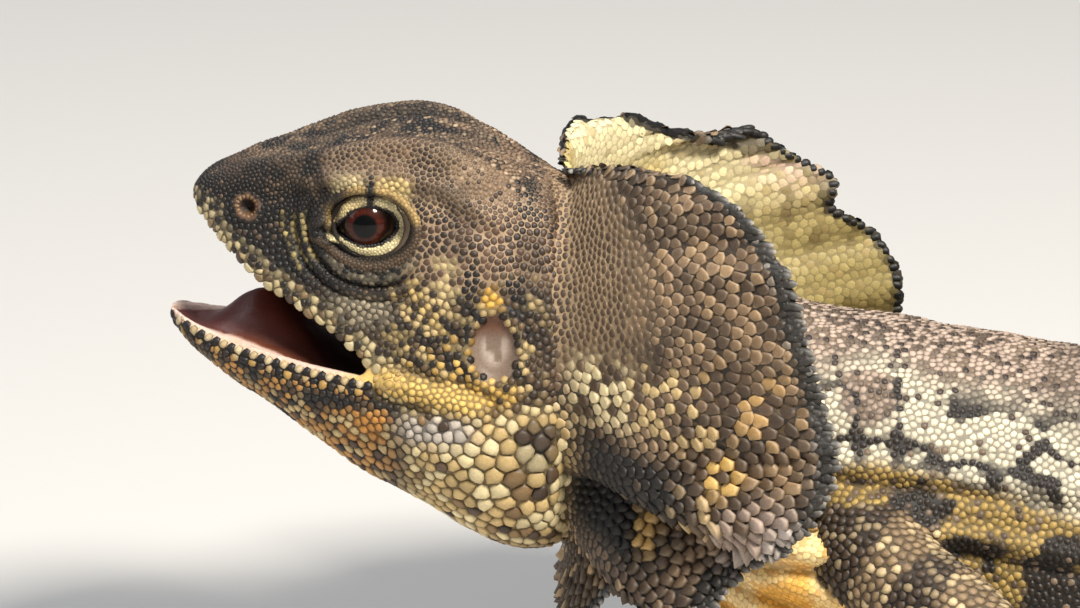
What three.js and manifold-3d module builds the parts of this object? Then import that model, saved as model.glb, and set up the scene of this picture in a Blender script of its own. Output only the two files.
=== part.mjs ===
// A life-size frilled lizard, propped on its front legs with the mouth open and the frill folded back.
// Millimetres, +Z up. The head points along -X, the animal's left side is -Y, and the floor is z = 0.
// Lengths along the body are written as s, the distance behind the tip of the snout.
import * as THREE from "three";
import { mergeVertices } from "three/addons/utils/BufferGeometryUtils.js";
import Module from "manifold-3d";

const wasm = await Module();
wasm.setup();

// Driving dimensions
const BODY_LENGTH = 232; // snout to vent
const TAIL_LENGTH = 478;
const BELLY_REST = 196; // s of the belly flat, which is the origin
const GAP = 0.3; // between touching nodes
const NECK_CUT = 54.4; // s where the head ends
const SHOULDER_CUT = 90; // s where the neck ends
const TAIL_CUTS = [340, 450, 570]; // s of the cuts along the tail
const FRILL_THICKNESS = 1.3;
const EYE = { s: 27, y: 10, z: 83, radius: 5.2, lid: 6.4, openLong: 4.4, openHigh: 3.4, rimOut: 3.9 };
const EAR = { s: 45.5, y: 22.4, z: 66, size: [3.9, 2.4, 5.3] };
const NOSTRIL = { s: 8.6, y: 8.6, z: 84.3, size: [1.3, 1.6, 1.1] };

// A smooth curve through [position, value] keys, flat beyond its ends.
function profile(keys) {
  const slope = keys.map((key, i) => {
    const before = keys[Math.max(i - 1, 0)];
    const after = keys[Math.min(i + 1, keys.length - 1)];
    return (after[1] - before[1]) / (after[0] - before[0]);
  });
  return (s) => {
    if (s <= keys[0][0]) return keys[0][1];
    const i = keys.findIndex((key) => key[0] > s) - 1;
    if (i < 0) return keys[keys.length - 1][1];
    const span = keys[i + 1][0] - keys[i][0];
    const t = (s - keys[i][0]) / span;
    const rise = keys[i + 1][1] - keys[i][1];
    const bend0 = slope[i] * span - rise;
    const bend1 = rise - slope[i + 1] * span;
    return keys[i][1] + t * rise + t * (1 - t) * ((1 - t) * bend0 + t * bend1);
  };
}

// Upper head, by s: height of the midline, then the brow ridge, the cheek, the lip and the palate
const crown = profile([
  [0, 85.6], [1.2, 87.6], [3.5, 88.9], [8, 90.1], [13, 91], [17.5, 91.8], [22.5, 92.6], [28, 93.2],
  [34, 93.4], [40, 92.6], [45, 90.7], [50.5, 88.4], [56, 86.8], [64, 84],
]);
const browWidth = profile([
  [0, 1.6], [3.5, 4.2], [8, 5], [13, 6.8], [17.5, 8.9], [22.5, 10.8], [28, 11.8], [34, 12.4],
  [44, 13], [64, 14],
]);
const browHeight = profile([
  [0, 85], [1.2, 87], [3.5, 88.2], [8, 89.9], [13, 91.1], [17.5, 92.3], [22.5, 94], [28, 95.2],
  [34, 95.6], [39, 94.4], [44, 91.4], [54, 84], [64, 78],
]);
const cheekWidth = profile([
  [0, 2.4], [1.2, 4.2], [3.5, 6], [8, 8.4], [14, 11], [21, 13.8], [29, 17], [37, 20.2], [45, 21.8],
  [52, 21.2], [64, 18],
]);
const cheekHeight = profile([
  [0, 84.2], [3.5, 84.5], [8, 83], [14, 79.5], [21, 77], [29, 72.5], [37, 68], [45, 64], [64, 60],
]);
const lipWidth = profile([
  [0, 1.8], [2, 5.2], [5, 8], [9, 10.3], [15, 13.4], [21, 15.9], [29, 19], [38, 20.4], [50, 20],
  [64, 17],
]);
const lipHeight = profile([
  [0, 83], [2, 80.6], [5, 77.4], [9, 74], [15, 70.2], [21, 66.5], [26, 62.8], [29.5, 60.6], [34, 57],
  [45, 54], [64, 52],
]);
const palateHeight = profile([
  [0, 83.6], [3, 82.6], [9, 80], [15, 76.6], [26, 70], [32, 65.5], [37, 57], [64, 52],
]);
const LIP_THICKNESS = 1.9;

// Lower jaw and throat, by s
const chinHeight = profile([
  [-3.6, 65.6], [-2.4, 63.7], [0.5, 61], [6, 56.9], [12, 53.4], [18, 49], [23, 44.9], [28, 42],
  [34, 39], [39, 35.8], [44, 32.6], [49, 31.2], [60, 31],
]);
const jowlWidth = profile([
  [-3.6, 1.6], [-2.4, 4], [1, 7.8], [7, 11], [13, 13.8], [19, 16.4], [25, 18.9], [31, 21], [38, 22.8],
  [46, 23.6], [54, 22], [64, 18],
]);
const jowlHeight = profile([
  [-3.6, 66.3], [-2.4, 65.4], [1, 63.8], [7, 61], [13, 58.6], [19, 56.6], [25, 55], [38, 52.6],
  [64, 50],
]);
const rimWidth = profile([
  [-3.6, 1.2], [-2.4, 3.4], [1, 7], [7, 10.3], [13, 13.2], [19, 15.8], [25, 18], [29, 19.2],
  [38, 20.4], [64, 16],
]);
const rimHeight = profile([
  [-3.6, 66.9], [-2.4, 67], [1, 65.8], [7, 64.2], [13, 62.9], [19, 61.9], [25, 61.2], [29.5, 60.9],
  [36, 62], [64, 62],
]);
const floorHeight = profile([
  [-3.6, 66.5], [-1, 65.4], [4, 61.6], [12, 58.2], [20, 56.6], [28, 56.2], [33, 57.2], [38, 61],
  [64, 61],
]);

// The tongue lies raised in the lower jaw: its height over the mouth's floor, and the groove beside it
const TONGUE_SHOULDER = 0.8;
const GROOVE_DEPTH = 2;
const tongueRise = profile([
  [2, 0], [3.5, 3], [5, 6.6], [9, 11], [13, 12.2], [18, 9], [22, 4.2], [26, 1.4], [30, 0], [64, 0],
]);
const tongueHeight = (s) => floorHeight(s) + tongueRise(s);

function grooveHeight(s) {
  const open = floorHeight(s) + 0.45 * (rimHeight(s) - floorHeight(s));
  const share = Math.min(tongueRise(s) / 6, 1);
  return THREE.MathUtils.lerp(open, rimHeight(s) - GROOVE_DEPTH, share);
}

// Neck, torso and tail, by s
const VENT = BODY_LENGTH;
const TIP = BODY_LENGTH + TAIL_LENGTH;
const backHeight = profile([
  [38, 86], [50, 87.2], [60, 84.6], [72, 76], [84, 69.6], [95, 66.2], [110, 63.8], [125, 61],
  [150, 56.8], [175, 51.6], [200, 44], [216, 38.6], [VENT, 29.5], [252, 22.6], [300, 16], [380, 10.6],
  [480, 7], [600, 4.2], [TIP, 1.6],
]);
const bellyHeight = profile([
  [38, 40], [50, 33.4], [62, 31], [76, 26.6], [92, 20.4], [110, 15], [130, 9], [150, 3], [166, -0.8],
  [180, -1.6], [212, -1.4], [VENT, -0.9], [300, -0.6], [TIP, -0.2],
]);
const halfWidth = profile([
  [38, 18.5], [50, 18], [62, 17.4], [76, 19.4], [88, 23.4], [98, 26], [116, 26.8], [140, 28.4],
  [165, 29], [190, 26.8], [210, 21.8], [VENT, 14.6], [252, 10.8], [300, 7.8], [380, 5.2], [480, 3.5],
  [600, 2.1], [TIP, 0.8],
]);

// The line of the body seen from above: straight to the hips, then one long bend each way down the tail
const TAIL_BEND = 0.62;
const BEND_START = 196;
const BEND_HALF_LENGTH = 300;
const heading = (s) =>
  (s < BEND_START ? 0 : TAIL_BEND * Math.sin((Math.PI * (s - BEND_START)) / BEND_HALF_LENGTH));
const spine = [{ x: 0, y: 0 }];
for (let s = 1; s <= TIP; s++) {
  const angle = heading(s - 0.5);
  const last = spine[s - 1];
  spine.push({ x: last.x + Math.cos(angle), y: last.y + Math.sin(angle) });
}

// The point of the model at s along the body, y across it and height z.
function bodyPoint(s, y, z) {
  const i = THREE.MathUtils.clamp(Math.floor(s), 0, TIP - 1);
  const angle = heading(s);
  const x0 = spine[i].x + (s - i) * Math.cos(angle);
  const y0 = spine[i].y + (s - i) * Math.sin(angle);
  return new THREE.Vector3(x0 - y * Math.sin(angle) - BELLY_REST, y0 + y * Math.cos(angle), z);
}

// Solids from rings of points
function solidOf(positions, faces) {
  const geometry = new THREE.BufferGeometry();
  const flat = positions.flatMap((p) => p.toArray());
  geometry.setAttribute("position", new THREE.Float32BufferAttribute(flat, 3));
  geometry.setIndex(faces.flat());
  return solidFrom(geometry);
}

function solidFrom(geometry) {
  const bare = geometry.clone();
  bare.deleteAttribute("normal");
  bare.deleteAttribute("uv");
  const merged = mergeVertices(bare, 1e-4);
  const vertProperties = merged.attributes.position.array;
  const solid = (triVerts) => new wasm.Manifold(new wasm.Mesh({ numProp: 3, vertProperties, triVerts }));
  const made = solid(new Uint32Array(merged.index.array));
  if (made.volume() > 0) return made;
  return solid(new Uint32Array(merged.index.array).reverse());
}

// A closed skin over rings that all have the same number of points, with a fan over each end.
function loft(rings) {
  const sides = rings[0].length;
  const points = rings.flat();
  const faces = [];
  for (let r = 0; r + 1 < rings.length; r++) {
    for (let k = 0; k < sides; k++) {
      const a = r * sides + k;
      const b = r * sides + ((k + 1) % sides);
      faces.push([a, b, b + sides], [a, b + sides, a + sides]);
    }
  }
  const middle = (ring) => ring.reduce((sum, p) => sum.add(p), new THREE.Vector3()).divideScalar(sides);
  const first = points.push(middle(rings[0])) - 1;
  const last = points.push(middle(rings[rings.length - 1])) - 1;
  const top = (rings.length - 1) * sides;
  for (let k = 0; k < sides; k++) {
    const next = (k + 1) % sides;
    faces.push([first, next, k], [last, top + k, top + next]);
  }
  return solidOf(points, faces);
}

// Points along a smooth line through the corners of half a section, which its mirror image continues.
function halfSection(corners, steps) {
  const mirror = (p) => [-p[0], p[1]];
  const last = corners.length - 1;
  const all = [mirror(corners[1]), ...corners, mirror(corners[last - 1])];
  const points = [];
  for (let i = 1; i <= last; i++) {
    const [p0, p1, p2, p3] = all.slice(i - 1, i + 3);
    for (let k = 0; k < steps[i - 1]; k++) {
      const t = k / steps[i - 1];
      points.push([0, 1].map((c) =>
        0.5 * (2 * p1[c] + (p2[c] - p0[c]) * t + (2 * p0[c] - 5 * p1[c] + 4 * p2[c] - p3[c]) * t * t
          + (3 * p1[c] - p0[c] - 3 * p2[c] + p3[c]) * t * t * t)));
    }
  }
  points.push(corners[last]);
  return points;
}

function mirroredRing(s, corners, steps) {
  const half = halfSection(corners, steps);
  const other = half.slice(1, -1).reverse().map(([y, z]) => [-y, z]);
  return [...half, ...other].map(([y, z]) => bodyPoint(s, y, z));
}

// The grow argument moves a section's outline outwards, for cutting neighbours clear of it.
function headRing(s, grow) {
  const lip = lipWidth(s);
  return mirroredRing(s, [
    [0, crown(s) + grow],
    [browWidth(s) + grow * 0.7, browHeight(s) + grow * 0.7],
    [cheekWidth(s) + grow, cheekHeight(s)],
    [lip + grow, lipHeight(s)],
    [Math.max(lip - LIP_THICKNESS, lip * 0.5), lipHeight(s) + 0.7 - grow],
    [lip * 0.45, palateHeight(s) - grow],
    [0, palateHeight(s) - grow],
  ], [3, 4, 3, 1, 2, 1]);
}

function jawRing(s, grow) {
  const rim = rimWidth(s);
  const chin = chinHeight(s);
  return mirroredRing(s, [
    [0, chin - grow],
    [jowlWidth(s) * 0.66 + grow * 0.7, chin + 0.14 * (jowlHeight(s) - chin) - grow * 0.7],
    [jowlWidth(s) + grow, jowlHeight(s)],
    [rim + grow, rimHeight(s)],
    [Math.max(rim - LIP_THICKNESS, rim * 0.5), rimHeight(s) - 0.4 + grow],
    [rim * 0.74, grooveHeight(s) + grow],
    [rim * 0.45, floorHeight(s) + TONGUE_SHOULDER * tongueRise(s) + grow],
    [0, tongueHeight(s) + grow],
  ], [2, 3, 3, 1, 1, 1, 1]);
}

function trunkRing(s, grow, sides) {
  const top = backHeight(s) + grow;
  const bottom = bellyHeight(s) - grow;
  const wide = halfWidth(s) + grow;
  const middle = (top + bottom) / 2;
  return Array.from({ length: sides }, (_, k) => {
    const angle = (2 * Math.PI * k) / sides;
    const power = Math.sin(angle) > 0 ? 0.96 : 0.8;
    const across = Math.sign(Math.cos(angle)) * Math.abs(Math.cos(angle)) ** power;
    const up = Math.sign(Math.sin(angle)) * Math.abs(Math.sin(angle)) ** power;
    return bodyPoint(s, wide * across, middle + ((top - bottom) / 2) * up);
  });
}

const range = (from, to, step) => {
  const count = Math.max(1, Math.round((to - from) / step));
  return Array.from({ length: count + 1 }, (_, i) => from + ((to - from) * i) / count);
};

const headStations = [0, 0.5, 1.3, 2.4, ...range(4, 55, 3)];
const jawStations = [-3.6, -3.1, -2.4, -1.2, ...range(0.6, 55, 3.3)];
const upperHead = (grow) => loft(headStations.map((s) => headRing(s, grow)));
const jaw = (grow) => loft(jawStations.map((s) => jawRing(s, grow)));
const trunk = (grow) => loft(range(40, 232, 8).map((s) => trunkRing(s, grow, 20)));
const tail = loft([...range(226, 300, 9), ...range(314, TIP, 17)].map((s) => trunkRing(s, 0, 12)));

// A round bar along a smooth line, with a radius at each corner of the line and rounded ends.
function bar(corners, radii, sides, rings) {
  const curve = new THREE.CatmullRomCurve3(corners.map((c) => new THREE.Vector3(...c)));
  const frames = curve.computeFrenetFrames(rings);
  const radius = profile(radii.map((r, i) => [i / (radii.length - 1), r]));
  const made = [];
  for (let i = 0; i <= rings; i++) {
    const t = i / rings;
    const centre = curve.getPoint(t);
    made.push(Array.from({ length: sides }, (_, k) => {
      const angle = (2 * Math.PI * k) / sides;
      return centre.clone()
        .addScaledVector(frames.normals[i], radius(t) * Math.cos(angle))
        .addScaledVector(frames.binormals[i], radius(t) * Math.sin(angle));
    }));
  }
  return loft(made);
}

function ball(centre, size, sides = 12) {
  const geometry = new THREE.SphereGeometry(1, sides, Math.round(sides * 0.65));
  geometry.scale(...size);
  geometry.translate(...centre);
  return solidFrom(geometry);
}

// Limbs. A place is [s, distance from the midline, height]; side is -1 on the left and 1 on the right.
const SHIFT_RIGHT = 9; // how far forward the right legs stand
const LIMBS = {
  fore: {
    joints: {
      root: [101, 16, 37],
      shoulder: [100, 26, 36],
      elbow: [122, 48, 25.5],
      wrist: [105, 63, 8],
      pad: [98, 69, 4.2],
    },
    radii: { root: 10, shoulder: 9, elbow: 6.6, middle: 7, wrist: 4.4, pad: 4.6 },
    toes: [[-62, 9], [-30, 13], [-2, 16], [26, 16], [62, 11]],
    toeHeading: 48,
    rootCut: 13,
    bendCut: 15,
    names: ["upper_arm", "forearm", "hand"],
  },
  hind: {
    joints: {
      root: [224, 8, 18],
      shoulder: [217, 20, 19],
      elbow: [190, 52, 23],
      wrist: [229, 66, 9],
      pad: [213, 79, 4.4],
    },
    radii: { root: 11, shoulder: 12, elbow: 8, middle: 8.4, wrist: 4.8, pad: 5 },
    toes: [[-58, 10], [-32, 16], [-10, 23], [12, 30], [54, 19]],
    toeHeading: 36,
    rootCut: 20,
    bendCut: 22,
    names: ["thigh", "shank", "foot"],
  },
};

const lerp = (a, b, t) => a.map((v, i) => v + (b[i] - v) * t);

function limbPlaces(limb, side) {
  const forward = side > 0 ? SHIFT_RIGHT : 0;
  const share = { root: 0, shoulder: 0.2, elbow: 0.6, wrist: 1, pad: 1 };
  return Object.fromEntries(Object.entries(limb.joints).map(([name, [s, y, z]]) =>
    [name, bodyPoint(s, side * y, z).add(new THREE.Vector3(-forward * share[name], 0, 0)).toArray()]));
}

function upperLimb(limb, side, grow) {
  const at = limbPlaces(limb, side);
  const r = limb.radii;
  return bar([at.root, at.shoulder, lerp(at.shoulder, at.elbow, 0.5), at.elbow],
    [r.root, r.shoulder, (r.shoulder + r.elbow) / 2, r.elbow].map((radius) => radius + grow), 12, 8);
}

function limbSolid(limb, side) {
  const at = limbPlaces(limb, side);
  const r = limb.radii;
  const upper = upperLimb(limb, side, 0);
  const bend = ball(at.elbow, [r.elbow, r.elbow, r.elbow]);
  const lower = bar([at.elbow, lerp(at.elbow, at.wrist, 0.35), at.wrist, at.pad],
    [r.elbow, r.middle, r.wrist, r.pad * 0.8], 12, 8);
  const pad = ball([at.pad[0], at.pad[1], at.pad[2] - 0.8], [r.pad * 1.5, r.pad * 1.35, r.pad * 0.85], 10);
  const toes = limb.toes.map((toe) => toeSolid(at.pad, toe, limb, side));
  return wasm.Manifold.union([upper, bend, lower, pad, ...toes]);
}

// A toe lies on the floor with a low arch, and its claw curves down to touch the floor.
function toeSolid(pad, [turn, length], limb, side) {
  const angle = THREE.MathUtils.degToRad(limb.toeHeading + turn);
  const ahead = [-Math.cos(angle), side * Math.sin(angle)];
  const at = (distance, z) => [pad[0] + ahead[0] * distance, pad[1] + ahead[1] * distance, z];
  const start = limb.radii.pad * 0.7;
  const end = start + length;
  const knuckle = at(start + length * 0.45, 3.3);
  const line = [at(start, 2.6), knuckle, at(end - 1, 2), at(end + 1.5, 2), at(end + 4.4, 0.4)];
  return bar(line, [2.2, 1.9, 1.5, 1, 0.2], 5, 6);
}

// The frill: one membrane on each side, from a root around the neck to a free rim.
// The rims are given from the nape to the throat.
const LEFT_RIM = [
  [55.6, 3, 88.4], [66.5, 16, 91.2], [75, 25, 92], [82.2, 31, 88.5], [88, 35, 81.5],
  [91, 37, 72], [94, 38.4, 61.4], [95.6, 39, 52.6], [89.6, 38.4, 42.4], [81.6, 36, 34.6],
  [73.6, 33, 31], [66, 28, 27.6], [57, 17, 22.5], [55.6, 0.2, 20],
];
const RIGHT_RIM = [
  [55.6, 3, 88], [57.4, 20, 89.8], [67.2, 28, 88.2], [76.2, 33, 84.4], [84.2, 37, 84.4],
  [90.8, 39, 80.6], [98.4, 39.5, 73.6], [106.2, 39, 60.4], [107.4, 38.4, 47.6], [92, 36, 35.4],
  [78, 32.6, 31], [67, 27, 27.6], [57, 17, 22.5], [55.6, 0.2, 20],
];
const ROOT = { width: 17.4, height: 26, middle: 59.6, sTop: 57, sBack: 54 };
// Each pleat is [place from nape to throat, width, depth at the rim, depth halfway out].
const PLEATS = [
  [0.27, 0.03, -0.9, -0.6], [0.44, 0.03, -1.2, -0.8], [0.6, 0.035, 1.2, 1.8],
  [0.675, 0.036, -1.5, -8.5], [0.76, 0.04, 3, 3.2], [0.86, 0.03, -4.5, -3],
];
const DOME = profile([[0, 0.5], [0.12, 3], [0.35, 5.5], [0.6, 5], [0.8, 3], [1, 1]]);
const RIM_TEETH = 24;
const TOOTH = 0.9;

function frillPoint(rim, side, a, b) {
  const around = Math.PI * a;
  const root = new THREE.Vector3(
    ROOT.sTop + (ROOT.sBack - ROOT.sTop) * Math.sin(around),
    ROOT.width * Math.sin(around),
    ROOT.middle + ROOT.height * Math.cos(around),
  );
  const point = root.lerp(rim.getPoint(a), b);
  const bow = Math.sin(Math.PI * b);
  const fold = PLEATS.reduce((sum, [place, width, atRim, halfway]) =>
    sum + (atRim * b + (halfway - atRim / 2) * bow) * Math.exp(-(((a - place) / width) ** 2)), 0);
  const outwards = DOME(a) * bow + fold;
  point.y += outwards * Math.sin(around);
  point.z += outwards * Math.cos(around);
  return bodyPoint(point.x, side * point.y, point.z);
}

// A thin sheet from a grid of points, split into triangles alike on both faces.
function sheet(at, columns, rows, thickness) {
  const grid = [];
  for (let i = 0; i <= columns; i++) {
    for (let j = 0; j <= rows; j++) grid.push(at(i / columns, j / rows));
  }
  const index = (i, j) => i * (rows + 1) + j;
  const clampTo = (v, most) => THREE.MathUtils.clamp(v, 0, most);
  const normals = grid.map((_, n) => {
    const i = Math.floor(n / (rows + 1));
    const j = n % (rows + 1);
    const cell = (k, l) => grid[index(clampTo(k, columns), clampTo(l, rows))].clone();
    const along = cell(i + 1, j).sub(cell(i - 1, j));
    const across = cell(i, j + 1).sub(cell(i, j - 1));
    return along.cross(across).normalize();
  });
  const points = [
    ...grid.map((p, n) => p.clone().addScaledVector(normals[n], thickness / 2)),
    ...grid.map((p, n) => p.clone().addScaledVector(normals[n], -thickness / 2)),
  ];
  const back = grid.length;
  const faces = [];
  const quad = (a, b, c, d) => faces.push([a, b, c], [a, c, d]);
  for (let i = 0; i < columns; i++) {
    for (let j = 0; j < rows; j++) {
      const [a, b, c, d] = [index(i, j), index(i + 1, j), index(i + 1, j + 1), index(i, j + 1)];
      faces.push([a, b, c], [a, c, d], [back + c, back + b, back + a], [back + d, back + c, back + a]);
    }
    quad(index(i, rows), index(i + 1, rows), back + index(i + 1, rows), back + index(i, rows));
    quad(back + index(i, 0), back + index(i + 1, 0), index(i + 1, 0), index(i, 0));
  }
  for (let j = 0; j < rows; j++) {
    quad(index(0, j), index(0, j + 1), back + index(0, j + 1), back + index(0, j));
    quad(back + index(columns, j), back + index(columns, j + 1), index(columns, j + 1), index(columns, j));
  }
  return solidOf(points, faces);
}

function frillSolid(side, thickness) {
  const rimPoints = side < 0 ? LEFT_RIM : RIGHT_RIM;
  const rim = new THREE.CatmullRomCurve3(rimPoints.map((p) => new THREE.Vector3(...p)));
  const columns = RIM_TEETH * 2;
  const rows = [0, 0.3, 0.6, 0.86, 1];
  return sheet((a, j) => {
    const row = Math.round(j * (rows.length - 1));
    const tooth = row === rows.length - 1 ? (Math.round(a * columns) % 2 ? TOOTH : -TOOTH * 0.4) : 0;
    const inner = frillPoint(rim, side, a, rows[row] - 0.02);
    const point = frillPoint(rim, side, a, rows[row]);
    return point.addScaledVector(point.clone().sub(inner).normalize(), tooth);
  }, columns, rows.length - 1, thickness);
}

// The inner fold of the frill's throat lobe, which hangs out below the rim, with pleats like a fan
const FOLD_RIM = [
  [90, 27, 42], [97.5, 30.5, 37.6], [101, 32.5, 30.6], [99.5, 31.5, 22.6], [91, 27.5, 15.5],
  [79, 20, 12.6],
];
const FOLD_ROOT = [[70, 15, 41], [72, 14.6, 37], [73, 13.6, 33.6], [73, 12, 31], [72, 10, 29], [70, 8, 28]];
const FOLD_PLEATS = 5;
const FOLD_DEPTH = 1.7;

function foldSolid(side) {
  const rim = new THREE.CatmullRomCurve3(FOLD_RIM.map((p) => new THREE.Vector3(...p)));
  const root = new THREE.CatmullRomCurve3(FOLD_ROOT.map((p) => new THREE.Vector3(...p)));
  return sheet((a, b) => {
    const point = root.getPoint(a).lerp(rim.getPoint(a), b);
    const pleat = FOLD_DEPTH * b * Math.cos(2 * Math.PI * FOLD_PLEATS * a) + 4 * Math.sin(Math.PI * b);
    return bodyPoint(point.x, side * (point.y + pleat), point.z);
  }, 15, 3, FRILL_THICKNESS);
}

// The flesh as one solid, with eye sockets, ears and nostrils cut in
function box(centre, size, tilt = 0, turn = 0) {
  const geometry = new THREE.BoxGeometry(...size);
  geometry.rotateY(tilt);
  geometry.rotateZ(turn);
  geometry.translate(...centre);
  return solidFrom(geometry);
}

const eyePlace = (side) => bodyPoint(EYE.s, side * EYE.y, EYE.z).toArray();

// An almond opening between the lids, along the eye's outward axis.
function lidOpening(side) {
  const geometry = new THREE.CylinderGeometry(1, 1, 12, 18);
  geometry.scale(EYE.openLong, 1, EYE.openHigh);
  geometry.translate(0, side * 6, 0);
  geometry.rotateY(0.12);
  geometry.translate(...eyePlace(side));
  return solidFrom(geometry);
}

// The rolled edge of the lids, a flat ring around their opening
function lidRim(side) {
  const geometry = new THREE.TorusGeometry(1, 0.16, 6, 16);
  geometry.rotateX(Math.PI / 2);
  geometry.scale(EYE.openLong + 0.7, 5, EYE.openHigh + 0.7);
  geometry.translate(0, side * EYE.rimOut, 0);
  geometry.rotateY(0.12);
  geometry.translate(...eyePlace(side));
  return solidFrom(geometry);
}

// The raised fold over the eye
function browFold(side) {
  const at = (s, y, z) => bodyPoint(s, side * y, z).toArray();
  const line = [at(17, 11.2, 87.6), at(22, 13.2, 89.4), at(29, 14.8, 89.4), at(35.5, 15.8, 86)];
  return bar(line, [0.8, 1.7, 1.8, 0.9], 8, 7);
}

const SIDES = [-1, 1];
let flesh = wasm.Manifold.union([
  upperHead(0), jaw(0), trunk(0), tail,
  ...SIDES.flatMap((side) => [
    ball(eyePlace(side), [EYE.lid, EYE.lid, EYE.lid], 16),
    lidRim(side),
    browFold(side),
    limbSolid(LIMBS.fore, side),
    limbSolid(LIMBS.hind, side),
  ]),
]);
for (const side of SIDES) {
  const socket = EYE.radius + GAP;
  flesh = flesh
    .subtract(ball(eyePlace(side), [socket, socket, socket]))
    .subtract(lidOpening(side))
    .subtract(ball(bodyPoint(EAR.s, side * EAR.y, EAR.z).toArray(), EAR.size))
    .subtract(ball(bodyPoint(NOSTRIL.s, side * NOSTRIL.y, NOSTRIL.z).toArray(), NOSTRIL.size, 8));
}
const ABOVE_FLOOR = box([TAIL_LENGTH / 2, 0, 100], [1600, 1200, 200]);
flesh = flesh.intersect(ABOVE_FLOOR);

// Thin cuts part the flesh into its nodes. A cut is a square plate of GAP thickness across a place.
function plate(centre, normal, half) {
  const geometry = new THREE.BoxGeometry(2 * half, 2 * half, GAP);
  const up = new THREE.Vector3(0, 0, 1);
  geometry.applyQuaternion(new THREE.Quaternion().setFromUnitVectors(up, normal.clone().normalize()));
  geometry.translate(...centre.toArray());
  return solidFrom(geometry);
}

const alongBody = (s) => new THREE.Vector3(Math.cos(heading(s)), Math.sin(heading(s)), 0);
const JAW_CUT = { from: 24, to: NECK_CUT + 0.1, front: 61.5, drop: 5.8 };
const jawCutTilt = Math.atan2(JAW_CUT.drop, JAW_CUT.to - JAW_CUT.from);
const jawCutLength = Math.hypot(JAW_CUT.drop, JAW_CUT.to - JAW_CUT.from);
const jawCutMiddle = bodyPoint((JAW_CUT.from + JAW_CUT.to) / 2, 0, JAW_CUT.front - JAW_CUT.drop / 2);
const cuts = [
  box(jawCutMiddle.toArray(), [jawCutLength, 60, GAP], jawCutTilt),
  plate(bodyPoint(NECK_CUT, 0, 60), alongBody(NECK_CUT), 40),
  plate(bodyPoint(SHOULDER_CUT, 0, 45), alongBody(SHOULDER_CUT), 40),
  ...[VENT + 4, ...TAIL_CUTS].map((s) => plate(bodyPoint(s, 0, 10), alongBody(s), 26)),
];
const labels = new Map([
  ["head", bodyPoint(38, 0, 80)],
  ["lower_jaw", bodyPoint(45, 0, 45)],
  ["neck", bodyPoint(74, 0, 52)],
  ["torso", bodyPoint(150, 0, 30)],
  ["tail_base", bodyPoint(290, 0, 8)],
  ["tail_middle", bodyPoint(400, 0, 4)],
  ["tail_rear", bodyPoint(500, 0, 3)],
  ["tail_tip", bodyPoint(640, 0, 1.5)],
]);
const SIDE_NAME = { "-1": "left", 1: "right" };
for (const limb of Object.values(LIMBS)) {
  for (const side of SIDES) {
    const places = Object.entries(limbPlaces(limb, side));
    const at = Object.fromEntries(places.map(([name, p]) => [name, new THREE.Vector3(...p)]));
    const upper = at.elbow.clone().sub(at.shoulder).normalize();
    const lower = at.wrist.clone().sub(at.elbow).normalize();
    const foot = at.pad.clone().sub(at.wrist).normalize();
    const r = limb.radii;
    cuts.push(
      plate(at.shoulder.clone().addScaledVector(upper, limb.rootCut), upper, r.shoulder + 4),
      plate(at.elbow, upper.clone().add(lower), limb.bendCut),
      plate(at.wrist, lower.clone().add(foot), r.wrist * 1.3 + 3),
    );
    const names = limb.names.map((name) => `${name}_${SIDE_NAME[side]}`);
    labels.set(names[0], at.shoulder.clone().lerp(at.elbow, 0.75));
    labels.set(names[1], at.elbow.clone().lerp(at.wrist, 0.55));
    labels.set(names[2], at.pad);
  }
}
const parted = flesh.subtract(wasm.Manifold.union(cuts)).decompose();

// The largest closed body of a solid
const largest = (solid) => solid.decompose().reduce((best, s) => (s.volume() > best.volume() ? s : best));

const nodes = new Map();
for (const [name, place] of labels) {
  const probe = box(place.toArray(), [0.5, 0.5, 0.5]);
  const found = parted.find((piece) => piece.intersect(probe).volume() > 0);
  if (!found) throw new Error(`no piece of the flesh lies at ${name}`);
  nodes.set(name, found);
}

// Frill nodes stop clear of the flesh, of each other and of the floor
const midline = box([0, 0, 50], [600, GAP, 200]);
const arms = SIDES.map((side) => upperLimb(LIMBS.fore, side, GAP));
const clearOf = wasm.Manifold.union([upperHead(GAP), jaw(GAP), trunk(GAP), ...arms, midline]);
for (const side of SIDES) {
  const name = SIDE_NAME[side];
  nodes.set(`frill_${name}`, largest(frillSolid(side, FRILL_THICKNESS).subtract(clearOf)));
  const frillAndGap = [0, 1, 2].map((k) => frillSolid(side, FRILL_THICKNESS + k * GAP));
  const besideFrill = wasm.Manifold.union(frillAndGap);
  nodes.set(`frill_fold_${name}`, largest(foldSolid(side).subtract(clearOf).subtract(besideFrill)));
  nodes.set(`eye_${name}`, ball(eyePlace(side), [EYE.radius, EYE.radius, EYE.radius]));
}

// Materials and meshes
const colours = {
  skin: [0x8a6f52, 0.75],
  jaw: [0xc9ab72, 0.7],
  back: [0xa08a70, 0.75],
  frill: [0x6e5640, 0.7],
  fold: [0xd9932f, 0.65],
  eye: [0x2a120c, 0.1],
};
const materials = Object.fromEntries(Object.entries(colours).map(([name, [color, roughness]]) =>
  [name, new THREE.MeshStandardMaterial({ color, roughness, metalness: 0 })]));
function materialOf(name) {
  if (name.startsWith("eye")) return materials.eye;
  if (name.startsWith("frill_fold")) return materials.fold;
  if (name.startsWith("frill")) return materials.frill;
  if (name === "head") return materials.skin;
  if (name === "lower_jaw") return materials.jaw;
  return materials.back;
}

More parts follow.
